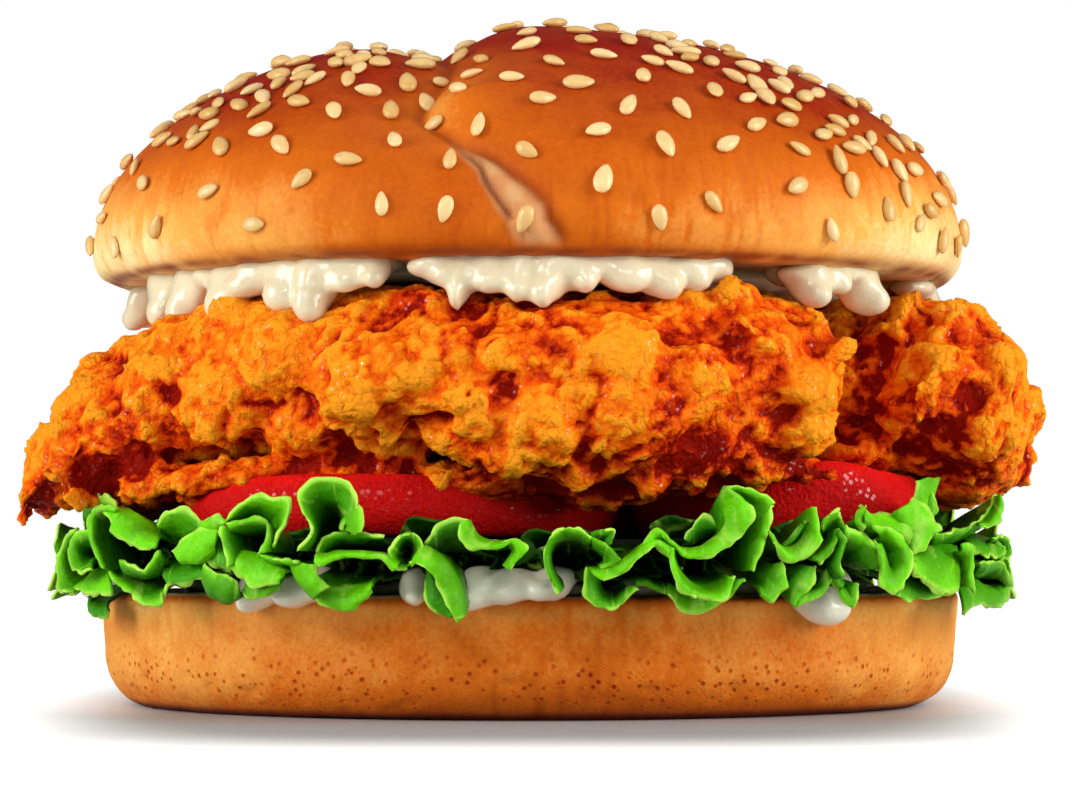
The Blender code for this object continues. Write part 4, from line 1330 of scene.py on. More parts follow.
# The front's frills, each as ((edge reach, root reach, edge tone, root tone), edge, root), where the edge
# and the root give the across and the height of each of their points in turn, in mm. A frill is bright at
# its edge and runs back into the stack at its root; the tones are painted light at the edge and painted
# shade towards the root.
FRONT_FRILLS = (
    ((54, 50, 0.82, 0.62),
     (-49.6, 20.2, -50, 22.5, -49.2, 24.3, -47, 23.8, -44.8, 22.6, -44.2, 21.4),
     (-49, 18.4, -47.6, 18.2, -46.2, 18.4, -45, 18.8)),
    ((56, 53, 0.95, 0.8),
     (-50, 20, -51.6, 18.8, -52.7, 17, -53, 15, -52.4, 13.3, -50.5, 13.1),
     (-50, 19, -50.8, 17.8, -51, 16.5, -50.7, 15.2, -50, 14.4, -49.6, 13.6)),
    ((57, 54.5, 1, 0.7),
     (-47.8, 20, -49.2, 19.9, -50.4, 18.8, -50.8, 17.3, -50.1, 15.8, -48.8, 15.2, -47.5, 15.7),
     (-47.4, 18.4, -48, 18.2, -48.4, 17.9, -48.6, 17.4, -48.4, 17, -48, 16.8, -47.4, 17)),
    ((57, 56, 1, 0.88),
     (-46.2, 16, -47.1, 17.6, -47.8, 19.6, -47.7, 21.5, -46.8, 22.4, -45.6, 22.6, -44.3, 22.3),
     (-45.4, 15.6, -46.2, 17.4, -46.7, 19.3, -46.7, 20.8, -46.2, 21.7, -45.4, 21.9, -44.5, 21.8)),
    ((57, 55, 1, 0.93),
     (-46.2, 22, -44.9, 20.9, -45.2, 19.8, -43.8, 19, -42.2, 18.3, -41, 18, -39.4, 18),
     (-44.6, 22.4, -43.4, 22.2, -42.4, 21.7, -41.4, 21, -40.4, 20.1, -39.2, 19)),
    ((55.5, 54, 0.98, 0.86),
     (-51, 13.2, -49.5, 13.1, -48, 12.9, -46.4, 12.9, -45, 13),
     (-49.2, 14.6, -48.6, 15.1, -47.8, 15.7, -46.8, 16, -45.8, 16.2)),
    ((53, 52, 0.8, 0.68),
     (-49, 12.6, -49.4, 11.5, -49.1, 10.7, -48, 10.3, -46.6, 10.5, -46.2, 11.2),
     (-48.6, 12.9, -48.3, 12.5, -47.8, 12.2, -47.2, 12, -46.6, 12.2)),
    ((55.5, 53.5, 1, 0.72),
     (-45.8, 16.2, -45, 14.6, -44.3, 13.7, -43, 13.2, -41.6, 12.3, -40.2, 11.8, -39, 12.3, -38.2, 13.9),
     (-45.2, 16, -44.6, 15.2, -43.6, 14.8, -42.4, 14.3, -41.2, 13.8, -40, 13.6, -39, 13.8, -38.6, 14.3)),
    ((57, 54.5, 1, 0.66),
     (-43.9, 16.7, -43, 16.4, -42, 16, -40.8, 15.9, -40, 16.8, -39.2, 17.9),
     (-43.6, 15.3, -42.6, 15, -41.6, 14.8, -40.6, 14.8, -39.4, 15.4, -38.4, 16.4)),
    ((55, 52, 0.92, 0.74),
     (-39.6, 20.6, -38.8, 21.7, -37.2, 22.4, -36, 22.1, -34.9, 21.3, -34, 20.4),
     (-39.2, 19, -38, 18.5, -36.8, 18.5, -35.6, 18.8, -34.6, 19.4)),
    ((57, 56, 1, 0.95),
     (-34.2, 20.8, -33, 21.3, -32, 21.2, -31.3, 20.7),
     (-34.4, 19.6, -33.4, 19.5, -32.6, 19.8, -32, 20.2)),
    ((57, 56.5, 1, 0.96),
     (-37.4, 17.8, -36.5, 18.8, -35.4, 19.5, -34.4, 20, -33.4, 20.2, -32.3, 20.1),
     (-36.5, 16.4, -35.6, 16.4, -34.6, 16.5, -33.7, 16.9, -32.8, 17.6)),
    ((55.5, 54, 0.84, 0.7),
     (-38.8, 15, -38.3, 14.2, -37.2, 14, -36, 14.2, -35, 14.5, -34, 14.6),
     (-38.8, 16, -38, 16.2, -37, 16.4, -36, 16.6, -35, 16.6, -34, 16.6)),
    ((57, 56, 0.98, 0.8),
     (-33.9, 16.6, -33, 15.9, -32, 15.4, -31, 14.9, -30.1, 14.3),
     (-34.2, 14.4, -33.4, 13.2, -32.3, 12.5, -31.1, 12.3, -30, 12.8)),
    ((56, 54, 0.86, 0.74),
     (-33.9, 17, -33, 16.2, -32, 15.6, -31, 15.3),
     (-33.2, 19, -32.7, 19.6, -32.2, 19.8, -31.6, 19.6)),
    ((57.5, 55.5, 1, 0.74),
     (-31.2, 16.1, -31.3, 17.2, -31.8, 18.4, -32, 19.4, -31.9, 20.3),
     (-29.6, 16.6, -30, 17.6, -30.3, 18.6, -30.5, 19.4, -30.6, 20)),
    ((57.5, 56.8, 1, 0.9),
     (-31.2, 20.3, -30, 20.6, -28.8, 21, -27.8, 21, -27.1, 20.4, -27.1, 19, -27.9, 17.4),
     (-31, 19.9, -29.8, 20.1, -28.6, 20.4, -27.7, 20.4, -26.9, 20.2, -26.6, 19.2, -26.6, 17.5)),
    ((57, 53.5, 1, 0.72),
     (-31.8, 20.6, -30.6, 21.8, -29.2, 23.2, -27.8, 23.6, -26.2, 23.3, -24.5, 22.9, -24.8, 21,
      -25.6, 19.6, -26.4, 18.2),
     (-30.8, 20.5, -29.8, 20.8, -28.8, 21.1, -28, 21.2, -27.4, 20.9, -27, 20.4, -26.8, 19.7, -26.7, 19,
      -26.5, 18)),
    ((57.5, 56.5, 1, 0.93),
     (-31.1, 16.1, -30.2, 15.6, -29.4, 14.9, -28.5, 14, -27, 14.1, -25.8, 14.6),
     (-30.9, 17.2, -29.6, 17.5, -28.4, 17.4, -27.2, 17, -26, 16.4, -25, 15.6)),
    ((56, 55.5, 0.95, 0.85),
     (-29.6, 13.6, -29.2, 12.9, -28.2, 12.8, -27, 13.1, -25.7, 13.9),
     (-29.4, 14.3, -28.6, 14.5, -27.6, 14.7, -26.4, 14.9, -25.4, 15)),
    ((57.5, 56, 1, 0.8),
     (-27.8, 17.4, -26.6, 17.2, -25.2, 16.9, -23.6, 16.8),
     (-26.8, 16.8, -25.8, 16.4, -24.8, 16.2, -23.4, 16.3)),
    ((57, 56.5, 0.98, 0.93),
     (-21.9, 16.6, -21.8, 15.8, -21.3, 14.8, -20.6, 14),
     (-24.6, 16.2, -24, 15, -23, 13.8, -22, 12.7)),
    ((57.5, 54, 1, 0.6),
     (-23.9, 17.8, -22.7, 18.9, -22.4, 20.2, -23.3, 21.8, -23.7, 23.3, -22.6, 24.7, -20.8, 25.1,
      -19, 24.7, -17.7, 23.5, -17.5, 22, -18.9, 20.8, -19.2, 19.8),
     (-22.2, 17.8, -21.8, 18.8, -21.6, 20, -21.4, 20.9, -21.2, 21.6, -20.9, 22.1, -20.5, 22.2,
      -20.1, 22.1, -19.7, 21.7, -19.4, 21.1, -19.3, 20.5, -19.5, 20)),
    ((57, 57, 1, 0.88),
     (-17.4, 22.2, -17.3, 21, -17.3, 20, -17.4, 19.4),
     (-18.9, 20.9, -18.8, 20.5, -18.6, 20, -18.9, 19.6)),
    ((56, 53.5, 0.96, 0.6),
     (-22, 17.2, -21.7, 18.3, -20.6, 19.2, -19, 19.6, -17.2, 19.4, -14.9, 19.2),
     (-21.2, 17.2, -20.4, 17.9, -19.4, 18.3, -18, 18.4, -16.4, 18.6, -15, 18.8)),
    ((58, 57, 1, 0.94),
     (-21.9, 16.8, -21.2, 16.3, -20, 16.7, -18.4, 17.1, -16.4, 17, -14.8, 16.7, -13.7, 15.8),
     (-21.8, 17.5, -20.8, 17.4, -19.6, 17.6, -18, 17.6, -16.4, 17.5, -14.6, 17.2, -13.3, 16.5)),
    ((55.5, 55, 0.98, 0.9),
     (-22.4, 13, -21.4, 12.1, -20, 11.5, -18.4, 11.5, -17, 12.5, -16.2, 13.6),
     (-21.8, 15, -20.6, 14.4, -19.2, 14.2, -17.8, 14, -16.8, 14.1, -16, 14.7)),
    ((57.5, 54, 1, 0.45),
     (-12.4, 15.9, -13.6, 16.2, -14.3, 17.4, -13.8, 18.8, -12.6, 19.5, -11.4, 19.3, -10.8, 18.1,
      -11.3, 17, -12.2, 16.2),
     (-12.6, 16.6, -12.9, 17, -13, 17.5, -12.8, 18.1, -12.4, 18.4, -12, 18.1, -11.9, 17.7, -12.1, 17.1,
      -12.4, 16.7)),
    ((57.5, 57, 1, 0.92),
     (-12.2, 16, -11, 16.1, -10.2, 15.6, -9.4, 14.4, -8.5, 13, -7.9, 11.4, -7.3, 10.4),
     (-11.5, 17.3, -10.7, 18.2, -9.4, 17.4, -8.2, 16.2, -7.3, 14.6, -6.9, 13, -6.6, 11.2)),
    ((55, 56, 0.82, 0.76),
     (-10.5, 15.9, -10.6, 14.4, -10.5, 12.6, -9.6, 11.6, -8.2, 10.8),
     (-10.2, 15.6, -9.6, 14.6, -8.9, 13.4, -8.3, 12.3, -7.8, 11.2)),
    ((56, 53.5, 0.8, 0.6),
     (-10.7, 18.5, -9.8, 19.7, -8.6, 20.7, -7.4, 21, -6.2, 20.7),
     (-10.2, 17.6, -9.2, 17.8, -8.2, 17.9, -7.2, 18, -6.6, 18.4)),
    ((58, 57, 1, 0.92),
     (-7.1, 20.4, -6.9, 19, -6.2, 18.2, -4.6, 17.8, -3.2, 18, -1.8, 18.8, -0.9, 18.6, -0.3, 17.9,
      -1.2, 17, -2.2, 16),
     (-6.2, 20.9, -5.7, 19.9, -5, 18.9, -4, 18.5, -3, 18.6, -2.2, 18.6, -1.8, 18, -1.8, 17.5, -2.2, 16.8,
      -2.7, 16.1)),
    ((57.5, 55.5, 1, 0.68),
     (2.8, 13.4, 1.9, 15, 1.4, 17, 1.9, 18.8, 3.2, 19.9, 4.8, 20, 6.2, 19.2),
     (3.3, 14, 2.5, 15.2, 2, 16.9, 2.4, 18.2, 3.4, 19, 4.7, 18.9, 5.9, 18.2)),
    ((56, 55, 0.86, 0.7),
     (6.1, 19.5, 7.2, 19.9, 8.5, 20, 8.3, 19.1, 8.1, 18.3),
     (6.4, 18.8, 6.9, 18.6, 7.3, 18.5, 7.4, 18.2, 7.4, 17.9)),
    ((57, 56, 0.98, 0.8),
     (6.1, 19, 7.4, 18.4, 8.4, 17.6, 9.1, 16.6, 8.2, 16.2, 7, 16.1),
     (6.4, 18.2, 7, 17.8, 7.5, 17.3, 7.6, 16.8, 7.3, 16.4, 6.9, 16.2)),
    ((58, 57, 1, 0.92),
     (7.1, 14.8, 8.4, 15.1, 9.7, 15.8, 10.7, 17, 11.7, 17.8, 12.8, 18.2, 13.9, 17.3),
     (5.9, 16, 7.4, 16, 9, 16.5, 10.2, 17.4, 11.4, 18.4, 12.8, 19, 14.3, 18.5)),
    ((56.5, 54.5, 1, 0.55),
     (5.6, 16.1, 5.4, 14.6, 5.6, 13, 6.4, 12.1, 7.6, 11.9, 9, 12.3, 10, 13.2, 10.8, 14.1),
     (7, 15, 7, 14.5, 7.1, 14, 7.4, 13.5, 7.9, 13.2, 8.6, 13.2, 9.2, 13.6, 9.8, 14.1)),
    ((55.5, 55, 0.95, 0.7),
     (10.7, 14.1, 11.8, 14.1, 12.8, 13.8, 13.9, 13.3),
     (10.6, 14.5, 11.8, 14.6, 12.8, 14.3, 14, 13.9)),
    ((58, 57, 1, 0.95),
     (11.6, 18.6, 12.2, 19.6, 13.2, 19.8, 14.4, 18.6, 15.5, 17.3, 17, 17, 18.8, 17.5, 20.6, 18.5,
      22.2, 20, 22.6, 21.5, 21.9, 22.9, 20, 24.1),
     (11.9, 18.5, 12.5, 19, 13.3, 19.1, 14.3, 18.5, 15.3, 18.1, 16.6, 18, 17.9, 18.4, 19.2, 19.3,
      20, 20.6, 20, 21.9, 19.8, 23.2, 19.8, 24.2)),
    ((57, 54.5, 1, 0.76),
     (20, 24.2, 21.6, 24.2, 23.4, 23.9, 25, 23.1, 24.7, 21.6, 24.5, 19.8, 23.9, 18.6, 23.4, 17.2,
      22.7, 15.8),
     (20.8, 23.9, 21.8, 23.3, 22.5, 22.3, 22.7, 21.2, 22.5, 20, 22.2, 19, 21.9, 17.9, 21.8, 16.8,
      21.8, 15.6)),
    ((58, 56, 1, 0.9),
     (14.3, 18, 14.1, 16.9, 14.4, 15.4, 15.1, 14, 16.3, 13.1, 17.8, 12.7, 19.4, 12.8, 20.4, 13.8,
      20.5, 15),
     (14.5, 17.6, 14.7, 16.7, 15.2, 15.6, 15.9, 14.7, 16.8, 14.1, 17.9, 13.9, 19, 14.1, 19.7, 14.6,
      20, 15.2)),
    ((55.5, 55, 0.97, 0.8),
     (13.8, 13.4, 15, 12.3, 16.6, 11.5, 18.2, 11.7, 19.6, 12.5, 20.8, 13.6, 22, 14.6),
     (14, 14.1, 15, 13.7, 16.2, 13.2, 17.6, 12.9, 19, 13, 20, 13.8, 20.8, 14.7)),
    ((56, 54.5, 0.84, 0.5),
     (15.8, 18.8, 16.4, 20.1, 17.6, 21.2, 18.4, 20.7, 19.2, 20.3),
     (16.2, 18.4, 16.8, 18.6, 17.6, 18.9, 18.3, 19.3, 18.8, 19.6)),
    ((57.5, 56, 1, 0.88),
     (24.5, 19.4, 25.2, 18, 26.2, 16.8, 27.6, 16.7, 28.8, 17.4, 30.1, 18.5, 29.7, 20, 29.3, 22),
     (24.8, 19.3, 25.5, 18.4, 26.5, 18, 27.4, 18.4, 28.1, 19.2, 28.4, 20.2, 28.6, 21.1, 28.8, 22.1)),
    ((56.5, 55, 0.78, 0.6),
     (28.6, 21.3, 27.9, 20.3, 26.9, 19.3, 25.8, 18.6),
     (28.4, 20, 27.8, 19.2, 27, 18.6, 26.2, 18.3)),
    ((56, 55.5, 1, 0.85),
     (25.6, 16.6, 26.1, 15.4, 26.6, 14.3, 25.8, 13.5, 24.8, 12.7, 23.6, 13.2),
     (25, 16.3, 24.4, 15.6, 24, 15, 23.9, 14.4, 23.7, 14, 23.3, 13.8)),
    ((57, 54.5, 0.97, 0.68),
     (30, 20.2, 30.6, 21.4, 31.8, 22, 32.4, 20.8, 33.2, 20, 34, 19.8),
     (30.2, 19.4, 30.8, 19.8, 31.5, 20, 32, 19.7, 32.6, 19.4, 33.2, 19.2)),
    ((57.5, 56.5, 0.93, 0.8),
     (31.8, 20, 31.7, 18.8, 31.2, 17.8, 30.4, 17.1, 29.8, 16.6),
     (31.5, 19.8, 31.1, 18.7, 30.4, 18, 29.5, 17.5, 28.6, 17.1)),
    ((57.5, 57, 0.9, 0.72),
     (31.9, 19.9, 32.6, 18.9, 32.3, 17.5, 31.9, 16.2, 32.5, 15),
     (31.6, 19.4, 31.9, 18.4, 31.5, 17.2, 31.2, 16, 31.9, 14.8)),
    ((56, 56, 1, 0.8),
     (29.5, 16, 29.2, 14.8, 28.7, 13.5, 27.9, 13, 27.1, 12.1),
     (28.2, 16.2, 27.4, 15.2, 27, 14.2, 26.9, 13.2, 26.9, 12.3)),
    ((56, 55.5, 1, 0.76),
     (30.6, 15.9, 31.1, 14.6, 30.6, 13.6, 29.2, 12.8, 27.4, 12.1),
     (30.3, 15.4, 30.1, 14.5, 29.6, 13.9, 28.7, 13.4, 27.6, 12.8)),
    ((56, 55.5, 0.96, 0.8),
     (31.4, 15.7, 31.4, 14.6, 31.8, 13.8, 32.4, 13.8),
     (32.1, 15.4, 32.2, 14.9, 32.4, 14.5, 32.7, 14.3)),
    ((56.5, 56, 1, 0.82),
     (34, 14.5, 33.9, 13.1, 33.8, 11.7, 32.8, 12.3, 32, 13.4),
     (33.5, 14.5, 33.1, 14, 32.9, 13.6, 32.6, 13.6, 32.2, 13.8)),
    ((57, 54.5, 1, 0.7),
     (32.6, 20.2, 34, 19.8, 35.2, 19.2, 36, 18.2, 36.4, 17, 36.4, 15.6),
     (32.4, 18.4, 33, 18, 33.6, 17.6, 33.8, 17, 34, 16.4, 34.6, 15.8)),
    ((56, 57, 0.98, 0.97),
     (34.7, 22.4, 35.4, 21.7, 36.4, 21.4, 37.8, 21.5, 39.2, 22, 41, 23.2),
     (34.8, 20.8, 35.8, 20.3, 37, 20, 38.2, 19.7, 39.3, 19, 40.2, 18.2)),
    ((57, 56.5, 1, 0.85),
     (34.8, 22.4, 34, 21.6, 33.8, 20.6, 34.6, 19.9),
     (34.9, 21.8, 34.5, 21.3, 34.5, 20.8, 35, 20.4)),
    ((58, 57, 1, 0.9),
     (35.6, 20.2, 37.2, 20, 38.6, 19.3, 39.8, 18.2, 40, 16.8, 39.6, 15.2, 38.7, 13.8, 37.5, 13.4,
      36.5, 14.2, 36.4, 15.8, 36.3, 17.4, 35.8, 18.7),
     (36.6, 19, 37.3, 18.8, 37.9, 18.4, 38.3, 17.8, 38.4, 17.1, 38.3, 16.4, 38.1, 15.8, 37.8, 15.6,
      37.5, 15.9, 37.3, 16.6, 37.1, 17.3, 36.8, 18)),
    ((56, 56, 0.98, 0.96),
     (40.6, 22.2, 40.8, 24, 41, 25.3),
     (42.7, 22.2, 43.2, 24, 43.9, 25.5)),
    ((56.5, 56, 0.96, 0.8),
     (42.8, 23.7, 43.4, 22.8, 43.6, 22.1, 43, 21.3),
     (42.2, 23.1, 41.8, 22.6, 41.7, 22.2, 42.2, 21.6)),
    ((57, 57, 0.98, 0.96),
     (41, 23.2, 42.4, 22, 43, 21, 43.9, 20.1, 42.8, 19.5, 41.8, 17.8, 40.4, 17.1),
     (38.4, 21.7, 38.9, 20.9, 39.5, 20.2, 40, 19.6, 40.1, 18.8, 40.2, 18.1, 40.2, 17.3)),
    ((57, 55, 1, 0.8),
     (40.3, 17, 40.4, 15.8, 41.2, 14.6, 42.4, 13.7, 44, 13.2, 46, 13.1),
     (40.9, 17.2, 42, 17.8, 43.2, 18.3, 44.4, 18.3, 45.4, 18.4, 46.4, 18.2)),
    ((57.5, 57, 1, 0.95),
     (46.3, 18.3, 46.9, 18.7, 47.7, 18, 47.8, 16.4, 47.6, 14.8, 48, 13.4),
     (46.3, 17.6, 46.7, 17.3, 47, 16.6, 47, 15.6, 46.9, 14.6, 46.8, 13.8)),
    ((55, 54, 1, 0.7),
     (38.6, 12.8, 40, 12.4, 41.8, 12.5, 43.8, 12.8, 45.8, 12.9),
     (39.2, 14.2, 40.4, 14.6, 41.6, 14.2, 43, 13.8, 44.6, 13.6)),
    ((56.5, 54.5, 0.95, 0.76),
     (43, 19.6, 45, 19.7, 47.2, 20.3, 49.2, 21.3, 50.6, 22.7, 51.6, 24),
     (43, 18.4, 45, 18.6, 47, 19, 48.8, 19.7, 50.4, 20.7, 51.6, 22)),
    ((57.5, 57, 1, 0.9),
     (51.7, 24, 52.2, 22.6, 51.6, 21.2, 50.2, 20.4, 48.8, 20.5),
     (51.5, 23.7, 51.2, 22.5, 50.6, 21.6, 49.8, 21, 48.8, 20.7)),
    ((57, 54.5, 0.92, 0.72),
     (50.8, 19, 52, 19.4, 53.2, 18.9, 53.9, 17.8, 53.4, 16.8, 52.2, 16.6),
     (50.6, 18.7, 51.4, 18.7, 52.1, 18.3, 52.4, 17.7, 52, 17.1, 51.4, 16.8)),
    ((56.5, 54, 0.93, 0.62),
     (48, 17.4, 49.4, 17.1, 50.8, 17, 51.8, 16.7, 53, 17.6, 51.8, 18.7),
     (47.4, 19, 48.4, 19.3, 49.2, 19.4, 50, 19.4, 50.6, 19.3, 51, 19)),
    ((57, 54.5, 0.88, 0.68),
     (48.8, 16.3, 50.4, 16.5, 52.2, 16.4, 53, 15.2, 54, 13.8),
     (48.8, 15.2, 50, 14.8, 51.4, 14.7, 52.4, 14.3, 53.2, 13.6)),
    ((56, 55, 0.93, 0.84),
     (54, 13.8, 53.8, 12.6, 52.8, 11.4, 51.2, 11.3, 49, 11.8, 47, 11),
     (52.8, 14.2, 51.6, 13.6, 50.4, 13.9, 49, 14.3, 47.8, 14.1, 46.6, 13.6)),
)
# Leaf rings as (heights of the low folds, heights of the high folds, reach, degrees from fold to fold,
# how far the front is held back, (radius, height) of the root, noise seed).
OUTER_LEAF = ((11.4, 13.4), (19.0, 21.6), 56.8, 6.0, 5.5, (46.5, 16.6), 401)
INNER_LEAF = ((16.4, 17.6), (21.5, 25.5), 53.4, 7.6, 4.0, (44.5, 18.2), 431)
LOWER_LEAF = ((13.4, 14.6), (17.0, 19.0), 52.4, 5.0, 2.0, (44.0, 15.4), 461)
# Height of the leaf pressed flat in the stack, and how far out it runs, in mm.
BED_HEIGHT = 17.0
BED_RADIUS = 45.0


def ring_folds(rng, low, high, reach, gap, pressed):
    """Folds all round a leaf's rim as (bearing, height, reach, curl, lean), held back in front."""
    folds = []
    bearing = 0.0
    rising = True
    while bearing < 360.0 - 0.6 * gap:
        front = in_front(bearing)
        height = rng.uniform(*(high if rising else low))
        height += 0.5 * front * (16.6 - height)
        out = reach + rng.uniform(-0.6, 0.6) - 2.2 * rising - pressed * front
        folds.append((bearing, height, out, rng.uniform(0.26, 0.40), rng.uniform(0.4, 1.2)))
        bearing += gap * rng.uniform(0.8, 1.25)
        rising = not rising
    if len(folds) % 2:
        folds.pop()
    return folds


def in_front(bearing):
    """1 at the bearings where the front frills stand before a leaf, 0 behind."""
    return smooth((-np.sin(np.radians(bearing)) - 0.02) / 0.35)


def rim_path(folds, samples):
    """Runs through the rim's folds: bearing, height, reach, lean and plain bearing of each step."""
    path = []
    closed = list(folds) + [(folds[0][0] + 360.0, *folds[0][1:])]
    for start, end in zip(closed, closed[1:]):
        for part in np.arange(samples) / samples:
            ease = 0.5 - 0.5 * math.cos(math.pi * part)
            swing = 0.5 * (start[3] + end[3]) * math.sin(math.tau * part)
            bearing = start[0] + (end[0] - start[0]) * (part + swing)
            plain = start[0] + (end[0] - start[0]) * part
            others = [start[row] + (end[row] - start[row]) * ease for row in (1, 2, 4)]
            path.append((bearing, *others, plain))
    return np.array(path)


def leaf_sheet(mesh, name, lettuce):
    """Gives a leaf its thickness, half to each side."""
    return evaluated(mesh, name, ("SOLIDIFY", {"thickness": lettuce.thickness, "offset": 0.0}))


def make_leaf(name, leaf, lettuce, rng):
    """Shapes a frilled leaf ring: a sheet from the stack out to the rim's folds."""
    samples = 24
    rows = 20
    *rim, root, seed = leaf
    path = rim_path(ring_folds(rng, *rim), samples)
    steps = len(path)
    inner = 30.0
    mesh = spun([(inner + row, 0.0) for row in range(rows + 1)], steps, name)
    blank = read_points(mesh)
    spoke = np.round(bearings_of(blank) / 360.0 * steps).astype(int) % steps
    out = (radii_of(blank) - inner) / rows
    bearing, height, reach, lean, plain = path[spoke].T
    root_radius, root_height = root
    flat = smooth(out / 0.3)
    frill = np.clip((out - 0.25) / 0.75, 0.0, 1.0)
    radius = inner + (root_radius - inner) * flat
    radius += (reach - root_radius) * np.sin(frill * math.pi / 2.0) ** (0.55 + 0.4 * lean)
    z = root_height + (height - root_height) * np.sin(frill * math.pi / 2.0) ** (1.6 * lean)
    turn = plain + (bearing - plain) * frill ** 1.25
    angle = np.radians(turn)
    points = np.stack([radius * np.cos(angle), radius * np.sin(angle), z], axis=-1)
    write_points(mesh, points)
    normals = read_normals(mesh)
    along = np.stack([plain, plain * 0.0, plain * 0.0], axis=-1)
    crinkle = 0.45 * lumps(points, 5.5, seed) + 0.22 * lumps(points, 2.4, seed + 1)
    crinkle += 0.55 * lumps(along, 2.1, seed + 6) * frill ** 3
    points += normals * (crinkle * frill)[:, None]
    teeth = 1.0 - 3.0 * np.abs(lumps(along, 3.0, seed + 2)) + 0.7 * lumps(along, 1.1, seed + 3)
    edge = smooth((out - 0.72) / 0.28)
    outward = np.stack([np.cos(angle), np.sin(angle), np.sign(height - root_height)], axis=-1)
    points += outward * (0.6 * teeth * edge)[:, None]
    write_points(mesh, points)
    paint(mesh, "rim", smooth((out - 0.965) / 0.035) * (1.0 - in_front(plain)))
    # Tone from the stack out to the rim, held darker behind the front frills: painted shade.
    paint(mesh, "out", out * (1.0 - 0.42 * in_front(plain)))
    across_leaf = np.stack([plain * 0.9, out * 1.2, plain * 0.0], axis=-1)
    paint(mesh, "vein", np.abs(lumps(across_leaf, 1.6, seed + 5)))
    return leaf_sheet(mesh, name, lettuce)


def frill_sheet(edge, root, reach, depth, tone, painted_root_shade):
    """One frill: a sheet from its edge to its root and on into the stack, with its rim and its painted
    shading, bright at the edge and darker towards the root as painted shade.
    """
    face_rows = 6
    tail_rows = 4
    tail_height = 16.8
    tail_radius = 46.5
    edge, root = np.reshape(edge, (-1, 2)), np.reshape(root, (-1, 2))
    count = 7 * (max(len(edge), len(root)) - 1) + 1
    outer = curve_through(edge, count)
    inner = curve_through(root, count)
    points = []
    painted_shading = []
    for row in range(face_rows + 1):
        share = row / face_rows
        flat = outer + (inner - outer) * share
        out = reach + (depth - reach) * share ** 1.4 + 0.5 * math.sin(math.pi * share)
        points.append(in_the_round(flat, out))
        painted_shading.append(np.full(count, tone + (painted_root_shade - tone - 0.05) * share))
    # The tail runs on into the stack and darkens there: painted shade.
    for row in range(1, tail_rows + 1):
        share = row / tail_rows
        flat = inner * (1.0 - 0.10 * share, 1.0)
        flat[:, 1] += (tail_height - inner[:, 1]) * 0.6 * share
        points.append(in_the_round(flat, depth + (tail_radius - depth) * share))
        painted_shading.append(np.full(count, painted_root_shade + (0.3 - painted_root_shade) * share ** 0.7))
    rows = len(points)
    faces = []
    for row in range(rows - 1):
        corners = range(row * count, row * count + count - 1)
        faces += [[corner, corner + 1, corner + count + 1, corner + count] for corner in corners]
    rims = np.zeros((rows, count))
    rims[0] = 1.0
    return (np.concatenate(points), faces), rims.ravel(), np.concatenate(painted_shading)


def in_the_round(flat, out):
    """Puts points seen from the front, across and height, at a distance out from the axis."""
    forward = np.sqrt(np.maximum(out ** 2 - flat[:, 0] ** 2, 9.0))
    return np.stack([flat[:, 0], -forward, flat[:, 1]], axis=-1)


def make_frills(lettuce, seed):
    """Shapes the frills that stand out of the stack's front."""
    shapes, rims, painted_shading, along = [], [], [], []
    for number, (setting, edge, root) in enumerate(FRONT_FRILLS):
        shape, rim, tone = frill_sheet(edge, root, *setting)
        shapes.append(shape)
        rims.append(rim)
        painted_shading.append(tone)
        along.append(np.full(len(rim), 7.0 * number))
    mesh = joined(shapes, "frills")
    points = read_points(mesh)
    rim = np.concatenate(rims)
    place = points + np.stack([np.concatenate(along)] * 3, axis=-1)
    points[:, 1] += 0.5 * lumps(place, 3.2, seed) + 0.25 * lumps(place, 1.4, seed + 1)
    points[:, 2] += 0.22 * lumps(place, 1.6, seed + 2)
    points += 0.35 * rim[:, None] * np.stack([lumps(place, 1.2, seed + row) for row in (7, 8, 9)], axis=-1)
    write_points(mesh, points)
    paint(mesh, "rim", rim)
    # Each frill's tone: painted light at its edge, painted shade towards its root.
    paint(mesh, "out", np.concatenate(painted_shading))
    paint(mesh, "vein", np.abs(lumps(place * (1.0, 0.3, 0.3), 1.8, seed + 5)))
    return leaf_sheet(mesh, "frills", lettuce)


def make_bed(lettuce, seed):
    """Shapes the crumpled leaf that is pressed flat in the middle of the stack, painted dark as shade."""
    rings = 40
    profile = [(BED_RADIUS * ring / rings, BED_HEIGHT) for ring in range(rings + 1)]
    mesh = spun(profile, 130, "bed")
    points = read_points(mesh)
    points[:, 2] += 1.5 * lumps(points, 6.0, seed) + 0.5 * lumps(points, 2.5, seed + 1)
    write_points(mesh, points)
    paint(mesh, "rim", np.zeros(len(points)))
    # Darker towards the middle of the stack: painted shade.
    paint(mesh, "out", 0.35 + 0.3 * smooth(radii_of(points) / BED_RADIUS))
    paint(mesh, "vein", np.ones(len(points)))
    return leaf_sheet(mesh, "bed", lettuce)


